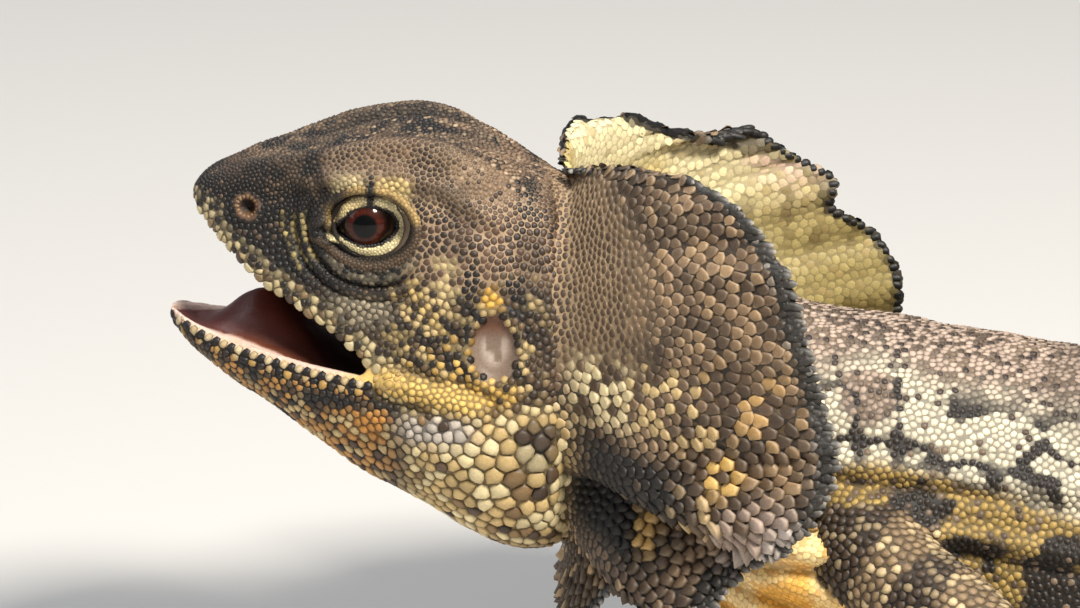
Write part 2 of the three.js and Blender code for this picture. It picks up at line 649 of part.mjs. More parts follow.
const lizard = new THREE.Group();
for (const [name, solid] of nodes) {
  const { numProp, vertProperties, triVerts } = solid.getMesh();
  const geometry = new THREE.BufferGeometry();
  const places = [];
  for (let i = 0; i < vertProperties.length; i += numProp) places.push(...vertProperties.subarray(i, i + 3));
  geometry.setAttribute("position", new THREE.Float32BufferAttribute(places, 3));
  geometry.setIndex([...triVerts]);
  geometry.computeVertexNormals();
  const mesh = new THREE.Mesh(geometry, materialOf(name));
  mesh.name = name;
  lizard.add(mesh);
}

export default lizard;
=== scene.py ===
# A life-size frilled lizard, propped on its front legs with the mouth open and the frill folded back.
# One skin covers the body, thin membranes make the frill, and solid scales lie over both.
# Shapes are worked out in millimetres and turned into metres when a mesh is made. The lengths along
# the body are written as s, the distance behind the tip of the snout.
import math

import bmesh
import bpy
import numpy as np
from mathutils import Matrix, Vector
from mathutils.bvhtree import BVHTree
from mathutils.kdtree import KDTree


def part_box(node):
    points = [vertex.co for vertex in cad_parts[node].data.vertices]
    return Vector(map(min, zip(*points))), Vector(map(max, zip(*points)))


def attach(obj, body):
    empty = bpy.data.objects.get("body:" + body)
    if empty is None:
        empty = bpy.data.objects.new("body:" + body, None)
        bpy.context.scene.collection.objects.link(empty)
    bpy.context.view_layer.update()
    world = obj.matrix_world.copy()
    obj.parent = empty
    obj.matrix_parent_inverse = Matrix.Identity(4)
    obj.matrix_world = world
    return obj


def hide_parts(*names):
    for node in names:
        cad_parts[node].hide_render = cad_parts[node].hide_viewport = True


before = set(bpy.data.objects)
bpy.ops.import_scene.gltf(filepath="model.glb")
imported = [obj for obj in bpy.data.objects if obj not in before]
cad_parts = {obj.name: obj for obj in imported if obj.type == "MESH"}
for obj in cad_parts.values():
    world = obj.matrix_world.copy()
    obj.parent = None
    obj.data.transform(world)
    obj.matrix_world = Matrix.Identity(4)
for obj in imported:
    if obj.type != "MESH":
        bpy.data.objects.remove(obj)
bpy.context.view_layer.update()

MM = 0.001
SNOUT_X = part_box("head")[0][0] / MM
TIP = 710
rng = np.random.default_rng(11)


# Numbers and curves

def rgb(text):
    """A colour written as six hexadecimal digits, as linear red, green and blue."""
    value = np.array([int(text[i:i + 2], 16) for i in (0, 2, 4)]) / 255
    return np.where(value <= 0.04045, value / 12.92, ((value + 0.055) / 1.055) ** 2.4)


def step(low, high, x):
    """0 below low, 1 above high, smooth between. Low may be above high."""
    t = np.clip((x - low) / (high - low), 0, 1)
    return t * t * (3 - 2 * t)


def hill(x, centre, width):
    return np.exp(-(((x - centre) / width) ** 2))


def length(vectors):
    return np.sqrt((vectors ** 2).sum(-1))


def unit(vectors):
    return vectors / np.maximum(length(vectors), 1e-9)[..., None]


def profile(*keys):
    """A smooth curve through (position, value) keys, flat beyond its ends."""
    at, value = np.array(keys, float).T
    before = np.r_[0, np.arange(len(at) - 1)]
    after = np.r_[np.arange(1, len(at)), len(at) - 1]
    slope = (value[after] - value[before]) / (at[after] - at[before])

    def curve(s):
        s = np.clip(s, at[0], at[-1])
        i = np.clip(np.searchsorted(at, s, side="right") - 1, 0, len(at) - 2)
        span = at[i + 1] - at[i]
        t = (s - at[i]) / span
        rise = value[i + 1] - value[i]
        bend = (1 - t) * (slope[i] * span - rise) + t * (rise - slope[i + 1] * span)
        return value[i] + t * rise + t * (1 - t) * bend

    return curve


def rope(points):
    """A smooth line through points, as a function of 0 to 1, the same centripetal curve as the frame's."""
    p = np.array(points, float)
    p = np.vstack([2 * p[0] - p[1], p, 2 * p[-1] - p[-2]])
    gaps = np.sqrt(length(np.diff(p, axis=0)))

    def curve(t):
        place = np.clip(np.asarray(t, float), 0, 1) * (len(points) - 1)
        i = np.minimum(place.astype(int), len(points) - 2)
        w = (place - i)[..., None]
        p0, p1, p2, p3 = (p[i + k] for k in range(4))
        d0, d1, d2 = (gaps[i + k][..., None] for k in range(3))
        out = ((p1 - p0) / d0 - (p2 - p0) / (d0 + d1) + (p2 - p1) / d1) * d1
        into = ((p2 - p1) / d1 - (p3 - p1) / (d1 + d2) + (p3 - p2) / d2) * d1
        return p1 + w * (out + w * (3 * (p2 - p1) - 2 * out - into + w * (2 * (p1 - p2) + out + into)))

    return curve


def noise(points, size, seed=0):
    """Smooth random values from 0 to 1 at points, changing over about size millimetres."""
    at = points / size + 1000.5 + 17.3 * seed
    cell = np.floor(at).astype(np.int64)
    t = at - cell
    t = t * t * (3 - 2 * t)
    total = 0
    for corner in np.ndindex(2, 2, 2):
        x, y, z = (cell + corner).T
        n = (x * 73856093) ^ (y * 19349663) ^ (z * 83492791) ^ (seed * 2654435761)
        n = ((n ^ (n >> 13)) * 1274126177) & 0xFFFFFFFF
        value = ((n ^ (n >> 16)) & 0xFFFF) / 0xFFFF
        total = total + value * np.prod(np.where(corner, t, 1 - t), axis=1)
    return total


# The body's line and sections, by s

BACK = profile(
    (38, 86), (50, 87.2), (60, 84.6), (72, 76), (84, 69.6), (95, 66.2), (110, 63.8), (125, 61), (150, 56.8),
    (175, 51.6), (200, 44), (216, 38.6), (232, 29.5), (252, 22.6), (300, 16), (380, 10.6), (480, 7),
    (600, 4.2), (TIP, 1.6))
BELLY = profile(
    (38, 40), (50, 33.4), (62, 31), (76, 26.6), (92, 20.4), (110, 15), (130, 9), (150, 3), (166, -0.8),
    (180, -1.6), (212, -1.4), (232, -0.9), (300, -0.6), (TIP, -0.2))
HALF_WIDTH = profile(
    (38, 18.5), (50, 18), (62, 17.4), (76, 19.4), (88, 23.4), (98, 26), (116, 26.8), (140, 28.4), (165, 29),
    (190, 26.8), (210, 21.8), (232, 14.6), (252, 10.8), (300, 7.8), (380, 5.2), (480, 3.5), (600, 2.1),
    (TIP, 0.8))
LIP_WIDTH = profile(
    (0, 1.8), (2, 5.2), (5, 8), (9, 10.3), (15, 13.4), (21, 15.9), (29, 19), (38, 20.4), (50, 20), (64, 17))
LIP_HEIGHT = profile(
    (0, 83), (2, 80.6), (5, 77.4), (9, 74), (15, 70.2), (21, 66.5), (26, 62.8), (29.5, 60.6), (34, 57),
    (45, 54), (64, 52))
PALATE = profile((0, 83.6), (3, 82.6), (9, 80), (15, 76.6), (26, 70), (32, 65.5), (37, 57), (64, 52))
RIM_WIDTH = profile(
    (-3.6, 1.2), (-2.4, 3.4), (1, 7), (7, 10.3), (13, 13.2), (19, 15.8), (25, 18), (29, 19.2), (38, 20.4))
RIM_HEIGHT = profile(
    (-3.6, 66.9), (-2.4, 67), (1, 65.8), (7, 64.2), (13, 62.9), (19, 61.9), (25, 61.2), (29.5, 60.9),
    (36, 62))
MOUTH_FLOOR = profile(
    (-3.6, 66.5), (-1, 65.4), (4, 61.6), (12, 58.2), (20, 56.6), (28, 56.2), (33, 57.2), (38, 61), (64, 61))
TONGUE_RISE = profile(
    (2, 0), (3.5, 3), (5, 6.6), (9, 11), (13, 12.2), (18, 9), (22, 4.2), (26, 1.4), (30, 0))

TAIL_BEND = 0.62
BEND_START = 196
BEND_HALF_LENGTH = 300
STATIONS = np.arange(TIP + 1)


def heading(s):
    return np.where(s < BEND_START, 0, TAIL_BEND * np.sin(math.pi * (s - BEND_START) / BEND_HALF_LENGTH))


SPINE_X = SNOUT_X + np.r_[0, np.cumsum(np.cos(heading(STATIONS[1:] - 0.5)))]
SPINE_Y = np.r_[0, np.cumsum(np.sin(heading(STATIONS[1:] - 0.5)))]


def body_point(s, y, z):
    """The point at s along the body, y across it and height z."""
    s, y, z = np.broadcast_arrays(np.asarray(s, float), y, z)
    angle = heading(s)
    x0 = np.where(s < 0, SNOUT_X + s, np.interp(s, STATIONS, SPINE_X))
    y0 = np.interp(s, STATIONS, SPINE_Y)
    return np.stack([x0 - y * np.sin(angle), y0 + y * np.cos(angle), z], -1)


def along_body(points):
    """s and the distance across the body of points."""
    x = points[:, 0]
    s = np.where(x < SPINE_X[0], x - SNOUT_X, np.interp(x, SPINE_X, STATIONS))
    for _ in range(3):
        angle = heading(s)
        off = points[:, :2] - body_point(s, 0, 0)[:, :2]
        s = s + off[:, 0] * np.cos(angle) + off[:, 1] * np.sin(angle)
    angle = heading(s)
    off = points[:, :2] - body_point(s, 0, 0)[:, :2]
    return s, off[:, 1] * np.cos(angle) - off[:, 0] * np.sin(angle)


# Limbs. A place is (s, distance from the midline, height); side is -1 on the left and 1 on the right.

SIDES = {-1: "left", 1: "right"}
STEP_RIGHT = 9
LIMBS = {
    "fore": {
        "joints": [(101, 16, 37), (100, 26, 36), (122, 48, 25.5), (105, 63, 8), (98, 69, 4.2)],
        "radii": [10, 9, 6.6, 4.4, 4.6],
        "toes": [(-62, 9), (-30, 13), (-2, 16), (26, 16), (62, 11)],
        "heading": 48,
    },
    "hind": {
        "joints": [(224, 8, 18), (217, 20, 19), (190, 52, 23), (229, 66, 9), (213, 79, 4.4)],
        "radii": [11, 12, 8, 4.8, 5],
        "toes": [(-58, 10), (-32, 16), (-10, 23), (12, 30), (54, 19)],
        "heading": 36,
    },
}
JOINT_SHIFT = [0, 0.2, 0.6, 1, 1]


def limb_joints(limb, side):
    forward = STEP_RIGHT if side > 0 else 0
    return [body_point(s, side * y, z) - [forward * share, 0, 0]
            for (s, y, z), share in zip(limb["joints"], JOINT_SHIFT)]


def toe_line(limb, side, turn, reach):
    """The places along one toe: root, knuckle, nail root, mid nail and nail tip."""
    pad = limb_joints(limb, side)[-1]
    angle = math.radians(limb["heading"] + turn)
    ahead = np.array([-math.cos(angle), side * math.sin(angle), 0])
    start = limb["radii"][-1] * 0.7
    end = start + reach
    stops = [(start, 2.6), (start + reach * 0.45, 3.3), (end - 1, 2), (end + 1.5, 2), (end + 4.4, 0.4)]
    return [pad * [1, 1, 0] + ahead * far + [0, 0, z] for far, z in stops]


def toe_lines():
    """The places along each toe of each limb."""
    for limb in LIMBS.values():
        for side in SIDES:
            for turn, reach in limb["toes"]:
                yield toe_line(limb, side, turn, reach)


BONES = []  # start, end, radius at each, distance travelled down the limb, number of the limb
for number, (limb, side) in enumerate((limb, side) for limb in LIMBS.values() for side in SIDES):
    joints = limb_joints(limb, side)
    travelled = np.r_[0, np.cumsum([length(b - a) for a, b in zip(joints[1:], joints[2:])])]
    for k in range(1, 4):
        BONES.append((joints[k], joints[k + 1], *limb["radii"][k:k + 2], travelled[k - 1], number))
    for turn, reach in limb["toes"]:
        line = toe_line(limb, side, turn, reach)
        BONES.append((joints[4], line[0], limb["radii"][4], 2.2, travelled[3], number))
        BONES.append((line[0], line[3], 2.2, 1.2, travelled[3] + 5, number))


class Place:
    """Where points of the skin are on the body. The lining tells which of them are inside the mouth."""

    def __init__(self, points, lining=None):
        self.points = points
        self.s, self.y = along_body(points)
        self.z = points[:, 2]
        top, bottom, wide = BACK(self.s), BELLY(self.s), HALF_WIDTH(self.s)
        self.height = (self.z - bottom) / (top - bottom)
        around = (self.y / wide) ** 2 + (2 * self.height - 1) ** 2
        beside = (self.s > 84) & (self.s < 252) & (around > 1.12) & (np.abs(self.y) > wide * 0.7)
        self.angle = np.arctan2(self.y, self.z - (top + bottom) / 2)
        self.limb = np.full(len(points), -1)
        self.down = np.zeros(len(points))
        self.lie = np.stack([np.cos(heading(self.s)), np.sin(heading(self.s)), 0 * self.s], 1)
        self.side = self.angle / math.pi
        self.radius = wide
        chosen = np.flatnonzero(beside)
        if len(chosen):
            self.find_limb(chosen, points[chosen])
        self.head = (self.s < 56) & (self.limb < 0)
        self.mouth = np.zeros(len(points), bool) if lining is None else lining > 0.5

    def find_lining(self, normals):
        """1 where a point of the skin belongs to the inside of the mouth."""
        between = (self.z < PALATE(self.s) + 1.5) & (self.z > MOUTH_FLOOR(self.s) - 1.5)
        tongue_top = MOUTH_FLOOR(self.s) + TONGUE_RISE(self.s)
        upper = self.z > np.maximum(RIM_HEIGHT(self.s), tongue_top) + 1
        wide = np.where(upper, LIP_WIDTH(self.s), RIM_WIDTH(self.s))
        outward = normals[:, 1] * np.sign(self.y)
        facing = np.where(upper, -normals[:, 2], normals[:, 2])
        inner = (outward < 0.25) & (facing > -0.3) & (np.abs(self.y) < wide - 0.2) & (normals[:, 0] > -0.97)
        tongue = ~upper & (self.s > 0) & (np.abs(self.y) < 0.8 * RIM_WIDTH(self.s))
        return (self.head & between & (inner | tongue) & (self.s < 38)).astype(float)

    def find_limb(self, chosen, points):
        best = np.full(len(chosen), 1e9)
        for start, end, r0, r1, before, number in BONES:
            bone = end - start
            t = np.clip((points - start) @ bone / (bone @ bone), 0, 1)
            off = points - start - t[:, None] * bone
            radius = r0 + (r1 - r0) * t
            far = length(off) / radius
            nearer = far < best
            best[nearer] = far[nearer]
            at = chosen[nearer]
            self.limb[at] = number
            self.down[at] = before + t[nearer] * length(bone)
            self.lie[at] = unit(bone)
            self.radius[at] = radius[nearer]
            flat = unit(np.cross(bone, [0, 0, 1]))
            self.side[at] = np.arctan2(off[nearer] @ flat, off[nearer][:, 2]) / math.pi


# Meshes

def make_mesh(name, points, triangles, colours=None, maps=None, wet=None):
    """A smooth mesh object from arrays, with colour and OFBake map given for each point."""
    mesh = bpy.data.meshes.new(name)
    mesh.vertices.add(len(points))
    mesh.vertices.foreach_set("co", (points * MM).astype(np.float32).ravel())
    mesh.loops.add(3 * len(triangles))
    mesh.loops.foreach_set("vertex_index", triangles.astype(np.int32).ravel())
    mesh.polygons.add(len(triangles))
    mesh.polygons.foreach_set("loop_start", np.arange(0, 3 * len(triangles), 3, dtype=np.int32))
    mesh.update(calc_edges=True)
    mesh.polygons.foreach_set("use_smooth", np.ones(len(triangles), bool))
    if colours is not None:
        layer = mesh.color_attributes.new("tint", "FLOAT_COLOR", "POINT")
        full = np.c_[np.clip(colours, 0, 1), np.ones(len(points))]
        layer.data.foreach_set("color", full.astype(np.float32).ravel())
    if wet is not None:
        mesh.attributes.new("wet", "FLOAT", "POINT").data.foreach_set("value", wet.astype(np.float32))
    if maps is not None:
        layer = mesh.uv_layers.new(name="OFBake")
        layer.uv.foreach_set("vector", maps[triangles.ravel()].astype(np.float32).ravel())
    mesh.update()
    piece = bpy.data.objects.new(name, mesh)
    bpy.context.scene.collection.objects.link(piece)
    return piece


def point_normals(points, triangles):
    corners = points[triangles]
    across = np.cross(corners[:, 1] - corners[:, 0], corners[:, 2] - corners[:, 0])
    total = np.stack([
        sum(np.bincount(triangles[:, k], across[:, c], len(points)) for k in range(3)) for c in range(3)], 1)
    return unit(total)


def grid_faces(p, q, r, t):
    """Two triangles for each four-sided face of a grid, from the numbers of its four corners."""
    return np.concatenate([np.stack(half, -1).reshape(-1, 3) for half in ([p, q, r], [p, r, t])])


def triangles_of(mesh):
    mesh.calc_loop_triangles()
    found = np.empty(3 * len(mesh.loop_triangles), np.int32)
    mesh.loop_triangles.foreach_get("vertices", found)
    return found.reshape(-1, 3)


def points_of(mesh):
    found = np.empty(3 * len(mesh.vertices), np.float32)
    mesh.vertices.foreach_get("co", found)
    return found.reshape(-1, 3).astype(float) / MM


def smoothed(points, mesh, share, rounds):
    """Points drawn towards the mean of their neighbours, each by its own share."""
    edges = np.empty(2 * len(mesh.edges), np.int32)
    mesh.edges.foreach_get("vertices", edges)
    a, b = edges.reshape(-1, 2).T
    count = np.maximum(np.bincount(edges, minlength=len(points)), 1)
    for _ in range(rounds):
        mean = np.stack([
            np.bincount(a, points[b, c], len(points)) + np.bincount(b, points[a, c], len(points))
            for c in range(3)], 1) / count[:, None]
        points = points + share[:, None] * (mean - points)
    return points


class Hide:
    """A surface that carries scales. Its marks are values known at its points, and describe tells from
    places and marks where on the animal they are."""

    def __init__(self, points, triangles, describe, marks=None):
        self.points = points
        self.triangles = triangles
        self.normals = point_normals(points, triangles)
        self.marks = np.zeros((len(points), 0)) if marks is None else marks
        self.describe = describe
        self.tree = BVHTree.FromPolygons(points.tolist(), triangles.tolist(), all_triangles=True)

    def nearest(self, places):
        """The nearest points of the surface, with its smooth normals and its marks there."""
        hits = [self.tree.find_nearest(place) for place in places.tolist()]
        where = np.array([tuple(hit[0]) for hit in hits])
        corner = self.triangles[[hit[2] for hit in hits]]
        a, b, c = self.points[corner].transpose(1, 0, 2)
        whole = np.cross(b - a, c - a)
        size = np.maximum((whole ** 2).sum(1), 1e-12)
        u = (np.cross(c - b, where - b) * whole).sum(1) / size
        v = (np.cross(a - c, where - c) * whole).sum(1) / size
        weight = np.clip(np.stack([u, v, 1 - u - v], 1), 0, 1)[:, :, None]
        return where, unit((self.normals[corner] * weight).sum(1)), (self.marks[corner] * weight).sum(1)


# The skin: the frame's flesh, joined, smoothed and drawn in by the depth of the scales

BARE = ("frill", "eye")
FLESH = [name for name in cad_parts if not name.startswith(BARE)]
COAT = 0.35
GROW = 0.3
VOXEL = 0.9
HEAD_END = 57
EYE = {side: np.mean(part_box(f"eye_{name}"), axis=0) / MM for side, name in SIDES.items()}
EYE_S, EYE_Z, EYE_RADIUS = 27, 83, 5.2


def joined_flesh():
    whole = bmesh.new()
    for name in FLESH:
        part = bmesh.new()
        part.from_mesh(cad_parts[name].data)
        bmesh.ops.remove_doubles(part, verts=part.verts, dist=1e-6)
        part.normal_update()
        for vertex in part.verts:
            vertex.co += vertex.normal * GROW * MM * min(vertex.calc_shell_factor(), 1.8)
        mesh = bpy.data.meshes.new("part")
        part.to_mesh(mesh)
        part.free()
        whole.from_mesh(mesh)
        bpy.data.meshes.remove(mesh)
    mesh = bpy.data.meshes.new("flesh")
    whole.to_mesh(mesh)
    whole.free()
    piece = bpy.data.objects.new("flesh", mesh)
    bpy.context.scene.collection.objects.link(piece)
    remesh = piece.modifiers.new("voxels", "REMESH")
    remesh.mode = "VOXEL"
    remesh.voxel_size = VOXEL * MM
    made = bpy.data.meshes.new_from_object(piece.evaluated_get(bpy.context.evaluated_depsgraph_get()))
    bpy.data.objects.remove(piece)
    return made


def finer_head(mesh):
    fine = bmesh.new()
    fine.from_mesh(mesh)
    limit = (SNOUT_X + HEAD_END) * MM
    edges = [edge for edge in fine.edges if all(v.co.x < limit for v in edge.verts)]
    bmesh.ops.subdivide_edges(fine, edges=edges, cuts=1, use_grid_fill=True)
    fine.to_mesh(mesh)
    fine.free()


def segment_gap(x, y, start, end):
    """The distance of points of a plane from a straight segment."""
    start, end = np.array(start), np.array(end)
    way = end - start
    t = np.clip(((x - start[0]) * way[0] + (y - start[1]) * way[1]) / (way @ way), 0, 1)
    return np.hypot(x - start[0] - t * way[0], y - start[1] - t * way[1])


BROW = [(9, 87.6), (20, 90.6), (31, 91.4), (38.5, 88.6), (46, 84)]
NOSTRIL_S, NOSTRIL_Z = 8.8, 84.3
EAR_S, EAR_Z = 45.5, 66
EAR_LONG, EAR_HIGH = 3.4, 4.7
BROW_WIDTH = profile(
    (3.5, 4.2), (8, 5), (13, 6.8), (17.5, 8.9), (22.5, 10.8), (28, 11.8), (34, 12.4), (44, 13))
# Folds below the eye: distance from its middle, rise and width
EYE_FOLDS = ((8.3, 0.6, 0.6), (9.4, -0.6, 0.45), (10.5, 0.5, 0.55), (11.6, -0.45, 0.45), (12.6, 0.3, 0.5))
# Folds along the chest: height at CHEST_S, fall for each millimetre backwards, and size
CHEST_S = 100
CHEST_FOLDS = ((49.5, 0.13, 0.9), (41, 0.15, 1.1), (33, 0.14, 0.6))


def eye_gap(at):
    """The distance of places from the middle of the eye, seen from the side."""
    return np.hypot(at.s - EYE_S, (at.z - EYE_Z) * 1.08)


def nostril_gap(at):
    return np.hypot(at.s - NOSTRIL_S, at.z - NOSTRIL_Z)


def ear_gap(at):
    """How far places are from the middle of the ear, as a share of its size."""
    return np.hypot((at.s - EAR_S) / EAR_LONG, (at.z - EAR_Z) / EAR_HIGH)


def lid_gap(at):
    """How far places are from the eye's opening, as a share of its size."""
    return np.hypot((at.s - EYE_S) / 4.7, (at.z - EYE_Z) / 3.6)


def carved(at):
    """How far the skin rises, in millimetres, at folds, ridges and pits."""
    s, z, wide = at.s, at.z, np.abs(at.y)
    rise = 0.3 * (noise(at.points, 3.2, 1) - 0.5) + 0.5 * (noise(at.points, 9, 2) - 0.5)
    head = at.head & ~at.mouth & (wide > 4)
    from_eye = eye_gap(at)
    below = step(0.55, -0.3, (z - EYE_Z) / np.maximum(from_eye, 1))
    folds = 0
    for far, size, width in EYE_FOLDS:
        folds = folds + size * hill(from_eye, far, width)
    rise += head * below * folds * step(37, 30, s)
    nostril = nostril_gap(at)
    rise += head * (wide > 5) * (0.5 * hill(nostril, 1.6, 0.5) - 1.5 * hill(nostril, 0, 0.95))
    for start, end in zip(BROW, BROW[1:]):
        ridge = segment_gap(s, z, start, end)
        groove = segment_gap(s, z, (start[0], start[1] - 2.6), (end[0], end[1] - 2.6))
        rise += head * (0.34 * hill(ridge, 0, 1.2) - 0.26 * hill(groove, 0, 1.1))
    crest = BROW_WIDTH(s)
    over = at.head * step(85, 88, z) * step(5, 12, s) * step(46, 40, s)
    rise += over * (0.5 * hill(wide, crest, 1.3) - 1.6 * step(14, 22, s) * hill(wide, crest - 4.8, 2.4))
    rise -= head * 1.1 * hill(s, 15, 5) * hill(z, 80.5, 4) * step(20, 16, s)
    rise += head * 0.7 * hill(s, 43, 8) * hill(z, 79, 6)
    corner = segment_gap(s, z, (30, 60.6), (43, 57.2))
    rise += head * (0.9 * hill(corner, 0, 1.3) - 0.5 * hill(corner, 2.6, 0.8))
    ear = ear_gap(at)
    rise += head * (wide > 8) * (0.55 * hill(ear, 1.28, 0.16) - 0.75 * step(1.1, 0.7, ear))
    rise -= 0.85 * head * step(1.66, 1.42, lid_gap(at))
    side = (at.limb < 0) & (s > 84)
    fade = step(84, 96, s) * step(185, 140, s)
    for start, slope, size in CHEST_FOLDS:
        off = z - (start - slope * (s - CHEST_S)) + 1.5 * (noise(at.points, 14, 5) - 0.5)
        rise += side * fade * size * (hill(off, 0, 1.5) - 0.8 * hill(off, -2.6, 1.1))
    return rise


def make_skin():
    mesh = joined_flesh()
    points = points_of(mesh)
    at = Place(points)
    share = 0.5 * step(0.8, 5, at.radius)
    share = share * (1 - 0.6 * (hill(length(points - nearest_eye(points)), 6, 2)))
    points = smoothed(points, mesh, share, 16)
    mesh.vertices.foreach_set("co", (points * MM).astype(np.float32).ravel())
    finer_head(mesh)
    points = points_of(mesh)
    at = Place(points)
    points = smoothed(points, mesh, 0.4 * at.head + 0.1, 5)
    triangles = triangles_of(mesh)
    bpy.data.meshes.remove(mesh)
    normals = point_normals(points, triangles)
    lining = at.find_lining(normals)
    at.mouth = lining > 0.5
    inwards = (GROW + COAT - 0.15) * step(0.6, 3.5, at.radius)
    points = points + normals * (carved(at) - inwards)[:, None]
    from_rim = RIM_WIDTH(at.s) - np.abs(at.y)
    shelf = RIM_HEIGHT(at.s) - 0.15 - 0.1 * from_rim - 1.5 * np.maximum(from_rim - 2.4, 0)
    shelf = np.where(at.mouth & (normals[:, 2] > 0) & (at.s < 31), shelf, -99)
    points[:, 2] = np.maximum(np.maximum(points[:, 2], shelf), 0.02)
    blunt_toes(points)
    return points, triangles, lining


def blunt_toes(points):
    """Draws the skin back from the nails, which are pieces of their own."""
    for line in toe_lines():
        ahead = unit((line[4] - line[2]) * [1, 1, 0])
        beyond = (points - line[2]) @ ahead
        off = points - line[2] - beyond[:, None] * ahead
        tip = (beyond > 0.3) & (beyond < 7) & (length(off) < 3)
        points[tip] -= ((beyond[tip] - 0.3) * 0.85)[:, None] * ahead


def nearest_eye(points):
    return np.where((points[:, 1] < 0)[:, None], EYE[-1], EYE[1])


# The frill: on each side one membrane from a root round the neck to a free rim

LEFT_RIM = [
    (55.6, 3, 88.4), (66.5, 16, 91.2), (75, 25, 92), (82.2, 31, 88.5), (88, 35, 81.5), (91, 37, 72),
    (94, 38.4, 61.4), (95.6, 39, 52.6), (89.6, 38.4, 42.4), (81.6, 36, 34.6), (73.6, 33, 31), (66, 28, 27.6),
    (57, 17, 22.5), (55.6, 0.2, 20)]
RIGHT_RIM = [
    (55.6, 3, 88), (57.4, 20, 89.8), (67.2, 28, 88.2), (76.2, 33, 84.4), (84.2, 37, 84.4), (90.8, 39, 80.6),
    (98.4, 39.5, 73.6), (106.2, 39, 60.4), (107.4, 38.4, 47.6), (92, 36, 35.4), (78, 32.6, 31),
    (67, 27, 27.6), (57, 17, 22.5), (55.6, 0.2, 20)]
ROOT = {"width": 17.4, "height": 26, "middle": 59.6, "s_top": 57, "s_back": 54}
# Each pleat is (place from nape to throat, width, depth at the rim, depth halfway out)
PLEATS = [
    (0.27, 0.03, -0.9, -0.6), (0.44, 0.03, -1.2, -0.8), (0.6, 0.035, 1.2, 1.8), (0.675, 0.036, -1.5, -8.5),
    (0.76, 0.04, 3, 3.2), (0.86, 0.03, -4.5, -3)]
DOME = profile((0, 0.5), (0.12, 3), (0.35, 5.5), (0.6, 5), (0.8, 3), (1, 1))
SHEET = 0.7
FRILL_REACH = {-1: 0.96, 1: 0.985}
FOLD_RIM = [
    (90, 27, 42), (97.5, 30.5, 37.6), (101, 32.5, 30.6), (99.5, 31.5, 22.6), (91, 27.5, 15.5), (79, 20, 12.6)]
FOLD_ROOT = [(70, 15, 41), (72, 14.6, 37), (73, 13.6, 33.6), (73, 12, 31), (72, 10, 29), (70, 8, 28)]
FOLD_PLEATS = 5
FOLD_DEPTH = 1.7


def frill_places(side, a, b):
    rim = rope(LEFT_RIM if side < 0 else RIGHT_RIM)(a)
    if side > 0:
        b = b * (1 + 0.05 * hill(a, 0.435, 0.02) - 0.05 * hill(a, 0.475, 0.016) + 0.05 * hill(a, 0.53, 0.05))
    around = math.pi * a
    root = np.stack([
        ROOT["s_top"] + (ROOT["s_back"] - ROOT["s_top"]) * np.sin(around),
        ROOT["width"] * np.sin(around),
        ROOT["middle"] + ROOT["height"] * np.cos(around)], -1)
    point = root + (rim - root) * b[..., None]
    bow = np.sin(math.pi * b)
    outwards = DOME(a) * bow
    for place, width, at_rim, halfway in PLEATS:
        outwards = outwards + (at_rim * b + (halfway - at_rim / 2) * bow) * hill(a, place, width)
    ripple = 0.4 * np.sin(2 * math.pi * (13 * a + 0.3 * np.sin(9 * a)))
    ripple = ripple + 0.25 * np.sin(2 * math.pi * 31 * a + 4 * b)
    outwards = outwards + ripple * b ** 2 * step(0.02, 0.1, a)
    point[..., 1] += outwards * np.sin(around)
    point[..., 2] += outwards * np.cos(around)
    return body_point(point[..., 0], side * point[..., 1], point[..., 2])


def fold_places(side, a, b):
    point = rope(FOLD_ROOT)(a) * (1 - b[..., None]) + rope(FOLD_RIM)(a) * b[..., None]
    pleat = FOLD_DEPTH * b * np.cos(2 * math.pi * FOLD_PLEATS * a) + 4 * np.sin(math.pi * b)
    return body_point(point[..., 0], side * (point[..., 1] + pleat), point[..., 2])


LEAD = {"rows": 6, "reach": 5.0, "blend": 8, "rounds": 12}


def led_in(grid, a, b, hide):
    """Lengthens a sheet forwards over the head, so that its outer face leaves the skin in a smooth curve."""
    back = np.arange(LEAD["rows"], 0, -1) / LEAD["rows"]
    start = grid[:, :1] - np.array([LEAD["reach"], 0, 0]) * back[None, :, None]
    start = start + unit(start * [0, 1, 1] - [0, 0, ROOT["middle"]]) * 3
    where, normals, _ = hide.nearest(start.reshape(-1, 3))
    sunk = (-0.6 + 0.9 * (1 - back))[None, :, None]
    lead = where.reshape(start.shape) + normals.reshape(start.shape) * sunk
    grid = np.concatenate([lead, grid], 1)
    ends = slice(1, LEAD["rows"] + LEAD["blend"])
    for _ in range(LEAD["rounds"]):
        grid[:, ends] = (grid[:, :ends.stop - 1] + 2 * grid[:, ends] + grid[:, 2:ends.stop + 1]) / 4
    before = -0.13 * back
    a = np.concatenate([np.repeat(a[:, :1], len(back), 1), a], 1)
    b = np.concatenate([np.repeat(before[None], len(a), 0), b], 1)
    return grid, a, b


